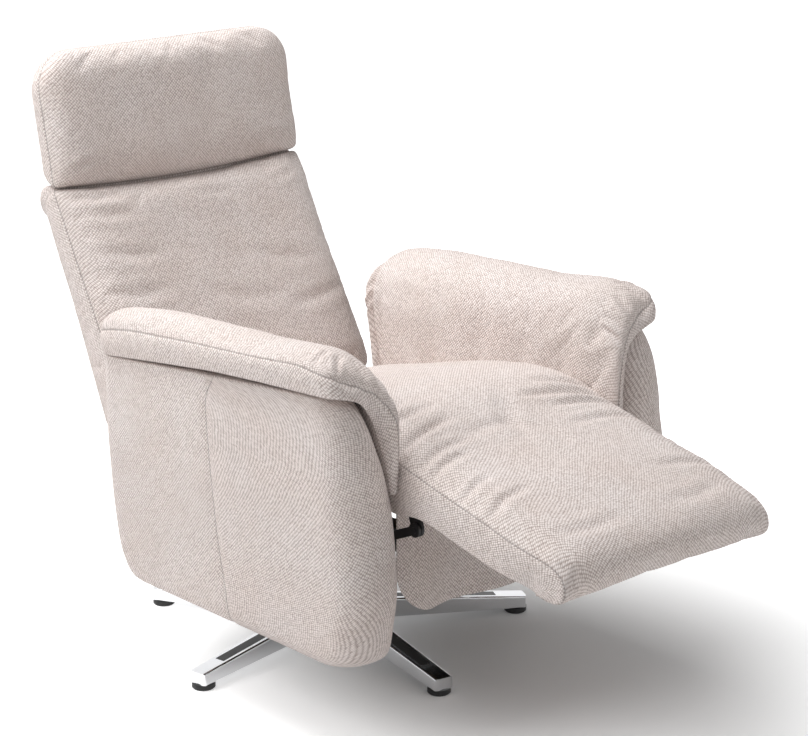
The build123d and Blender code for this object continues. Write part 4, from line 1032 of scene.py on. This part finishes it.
class RECLINER_OT_stage(bpy.types.Operator):
    """Plain pale floor that sweeps up behind, soft studio lamps and the camera."""

    bl_idname = "recliner.stage"
    bl_label = "Stage"

    def execute(self, context):
        scene = context.scene
        azimuth, elevation = math.radians(CAMERA_AZIMUTH), math.radians(CAMERA_ELEVATION)
        back = Vector((math.sin(azimuth) * math.cos(elevation), -math.cos(azimuth) * math.cos(elevation),
                       math.sin(elevation)))
        right = Vector((math.cos(azimuth), math.sin(azimuth), 0))
        up = back.cross(right)
        data = bpy.data.cameras.new("camera")
        data.sensor_width = SENSOR_WIDTH
        data.lens = FOCAL_SHARE * SENSOR_WIDTH
        data.clip_end = 60
        scene.camera = bpy.data.objects.new("camera", data)
        scene.collection.objects.link(scene.camera)
        place = right * CAMERA_PLACE[0] + up * CAMERA_PLACE[1] + back * CAMERA_PLACE[2]
        turned = Matrix((right, up, back)).transposed().to_4x4()
        scene.camera.matrix_world = Matrix.Translation(place) @ turned
        # Matt background paper
        paper, tree, shader = new_material("seamless_paper_floor", {
            "Base Color": linear(scene.recliner_colours.paper), "Roughness": 0.85})
        where = add_node(tree, "ShaderNodeTexCoord").outputs["Object"]
        # Metres from the middle of the chair's shadow. Painted light: rays seen directly see the paper
        # glow more with this distance, which lightens the chair's shadow away from its middle and makes
        # the paper further out white
        away = add_node(tree, "ShaderNodeVectorMath", {"operation": "DISTANCE"},
                        {0: where, 1: (0.20, -0.36, 0.0)}).outputs["Value"]
        glow = remap(tree, away, 0.12, 0.98, 0.0, 0.9, "SMOOTHSTEP")
        seen = combine(tree, "MULTIPLY", glow, seen_directly(tree))
        lift = add_node(tree, "ShaderNodeEmission", {}, {"Color": (1, 1, 1, 1), "Strength": seen})
        both = add_node(tree, "ShaderNodeAddShader", {}, {0: shader.outputs[0], 1: lift.outputs[0]})
        output = [n for n in tree.nodes if n.type == "OUTPUT_MATERIAL"][0]
        tree.links.new(both.outputs[0], output.inputs["Surface"])
        # Side view of the sweep in metres, along and up
        m, n = 60, 80
        line = spline([(-7, 0), (-3, 0), (0, 0), (3.4, 0), (4.9, 0.12), (6.0, 0.9), (6.4, 2.6),
                       (6.5, 6.0)], np.linspace(0, 1, n))
        across = np.linspace(-9, 9, m)[:, None]
        points = np.stack([across + 0 * line[:, 0], line[:, 0] + 0 * across,
                           np.maximum(line[:, 1], 0) + 0 * across], -1)
        faces = grid_faces(np.arange(m * n).reshape(m, n))
        floor = add_mesh("floor", points.reshape(-1, 3) / MM, faces)
        floor.data.transform(Matrix.Rotation(azimuth * 0.5, 4, "Z"))
        floor.data.materials.append(paper)
        lamps = (
            # name, place, target, size, watts
            ("overhead_softbox", (-0.5, 0.9, 3.2), (0, 0, 0.5), 2.0, 90.0),
            ("left_softbox", (-3.0, 0.5, 2.5), (0, 0, 0.4), 1.8, 56.0),
            ("front_fill", (1.5, -3.8, 1.8), (0, 0, 0.5), 2.4, 34.0),
        )
        for name, place, target, size, watts in lamps:
            lamp = bpy.data.lights.new(name, "AREA")
            lamp.shape = "SQUARE"
            lamp.size = size
            lamp.energy = watts
            holder = bpy.data.objects.new(name, lamp)
            scene.collection.objects.link(holder)
            holder.location = place
            holder.rotation_euler = (Vector(target) - Vector(place)).to_track_quat("-Z", "Y").to_euler()
        world = bpy.data.worlds.new("studio")
        world.use_nodes = True
        scene.world = world
        tree = world.node_tree
        tree.nodes.clear()
        sky = add_node(tree, "ShaderNodeBackground", {}, {"Color": (1, 1, 1, 1), "Strength": 0.22})
        white = add_node(tree, "ShaderNodeBackground", {}, {"Color": (1, 1, 1, 1), "Strength": 1.0})
        mix = add_node(tree, "ShaderNodeMixShader", {},
                       {0: seen_directly(tree), 1: sky.outputs[0], 2: white.outputs[0]})
        add_node(tree, "ShaderNodeOutputWorld", {}, {"Surface": mix.outputs[0]})
        scene.view_settings.view_transform = "Standard"
        return {"FINISHED"}


OPERATORS = (RECLINER_OT_hardware, RECLINER_OT_headrest, RECLINER_OT_back, RECLINER_OT_seat,
             RECLINER_OT_arms, RECLINER_OT_apron, RECLINER_OT_stage)


class RECLINER_PT_panel(bpy.types.Panel):
    """Lists the recliner's sizes, colours and pieces."""

    bl_label = "Recliner"
    bl_idname = "RECLINER_PT_panel"
    bl_space_type = "VIEW_3D"
    bl_region_type = "UI"
    bl_category = "Recliner"

    def draw(self, context):
        for group in (context.scene.recliner_sizes, context.scene.recliner_colours):
            for key in group.bl_rna.properties.keys():
                if key not in ("rna_type", "name"):
                    self.layout.prop(group, key)
        for operator in OPERATORS:
            self.layout.operator(operator.bl_idname)


CLASSES = (RECLINER_PG_sizes, RECLINER_PG_colours) + OPERATORS + (RECLINER_PT_panel,)


def register():
    """Registers the classes and the scene's two property groups."""
    for item in CLASSES:
        bpy.utils.register_class(item)
    bpy.types.Scene.recliner_sizes = PointerProperty(type=RECLINER_PG_sizes)
    bpy.types.Scene.recliner_colours = PointerProperty(type=RECLINER_PG_colours)


def unregister():
    """Takes back all that register does."""
    del bpy.types.Scene.recliner_colours
    del bpy.types.Scene.recliner_sizes
    for item in reversed(CLASSES):
        bpy.utils.unregister_class(item)


def main():
    register()
    bpy.ops.recliner.hardware()
    bpy.ops.recliner.headrest()
    bpy.ops.recliner.back()
    bpy.ops.recliner.seat()
    bpy.ops.recliner.arms()
    bpy.ops.recliner.apron()
    bpy.ops.recliner.stage()


if __name__ == "__main__":
    main()
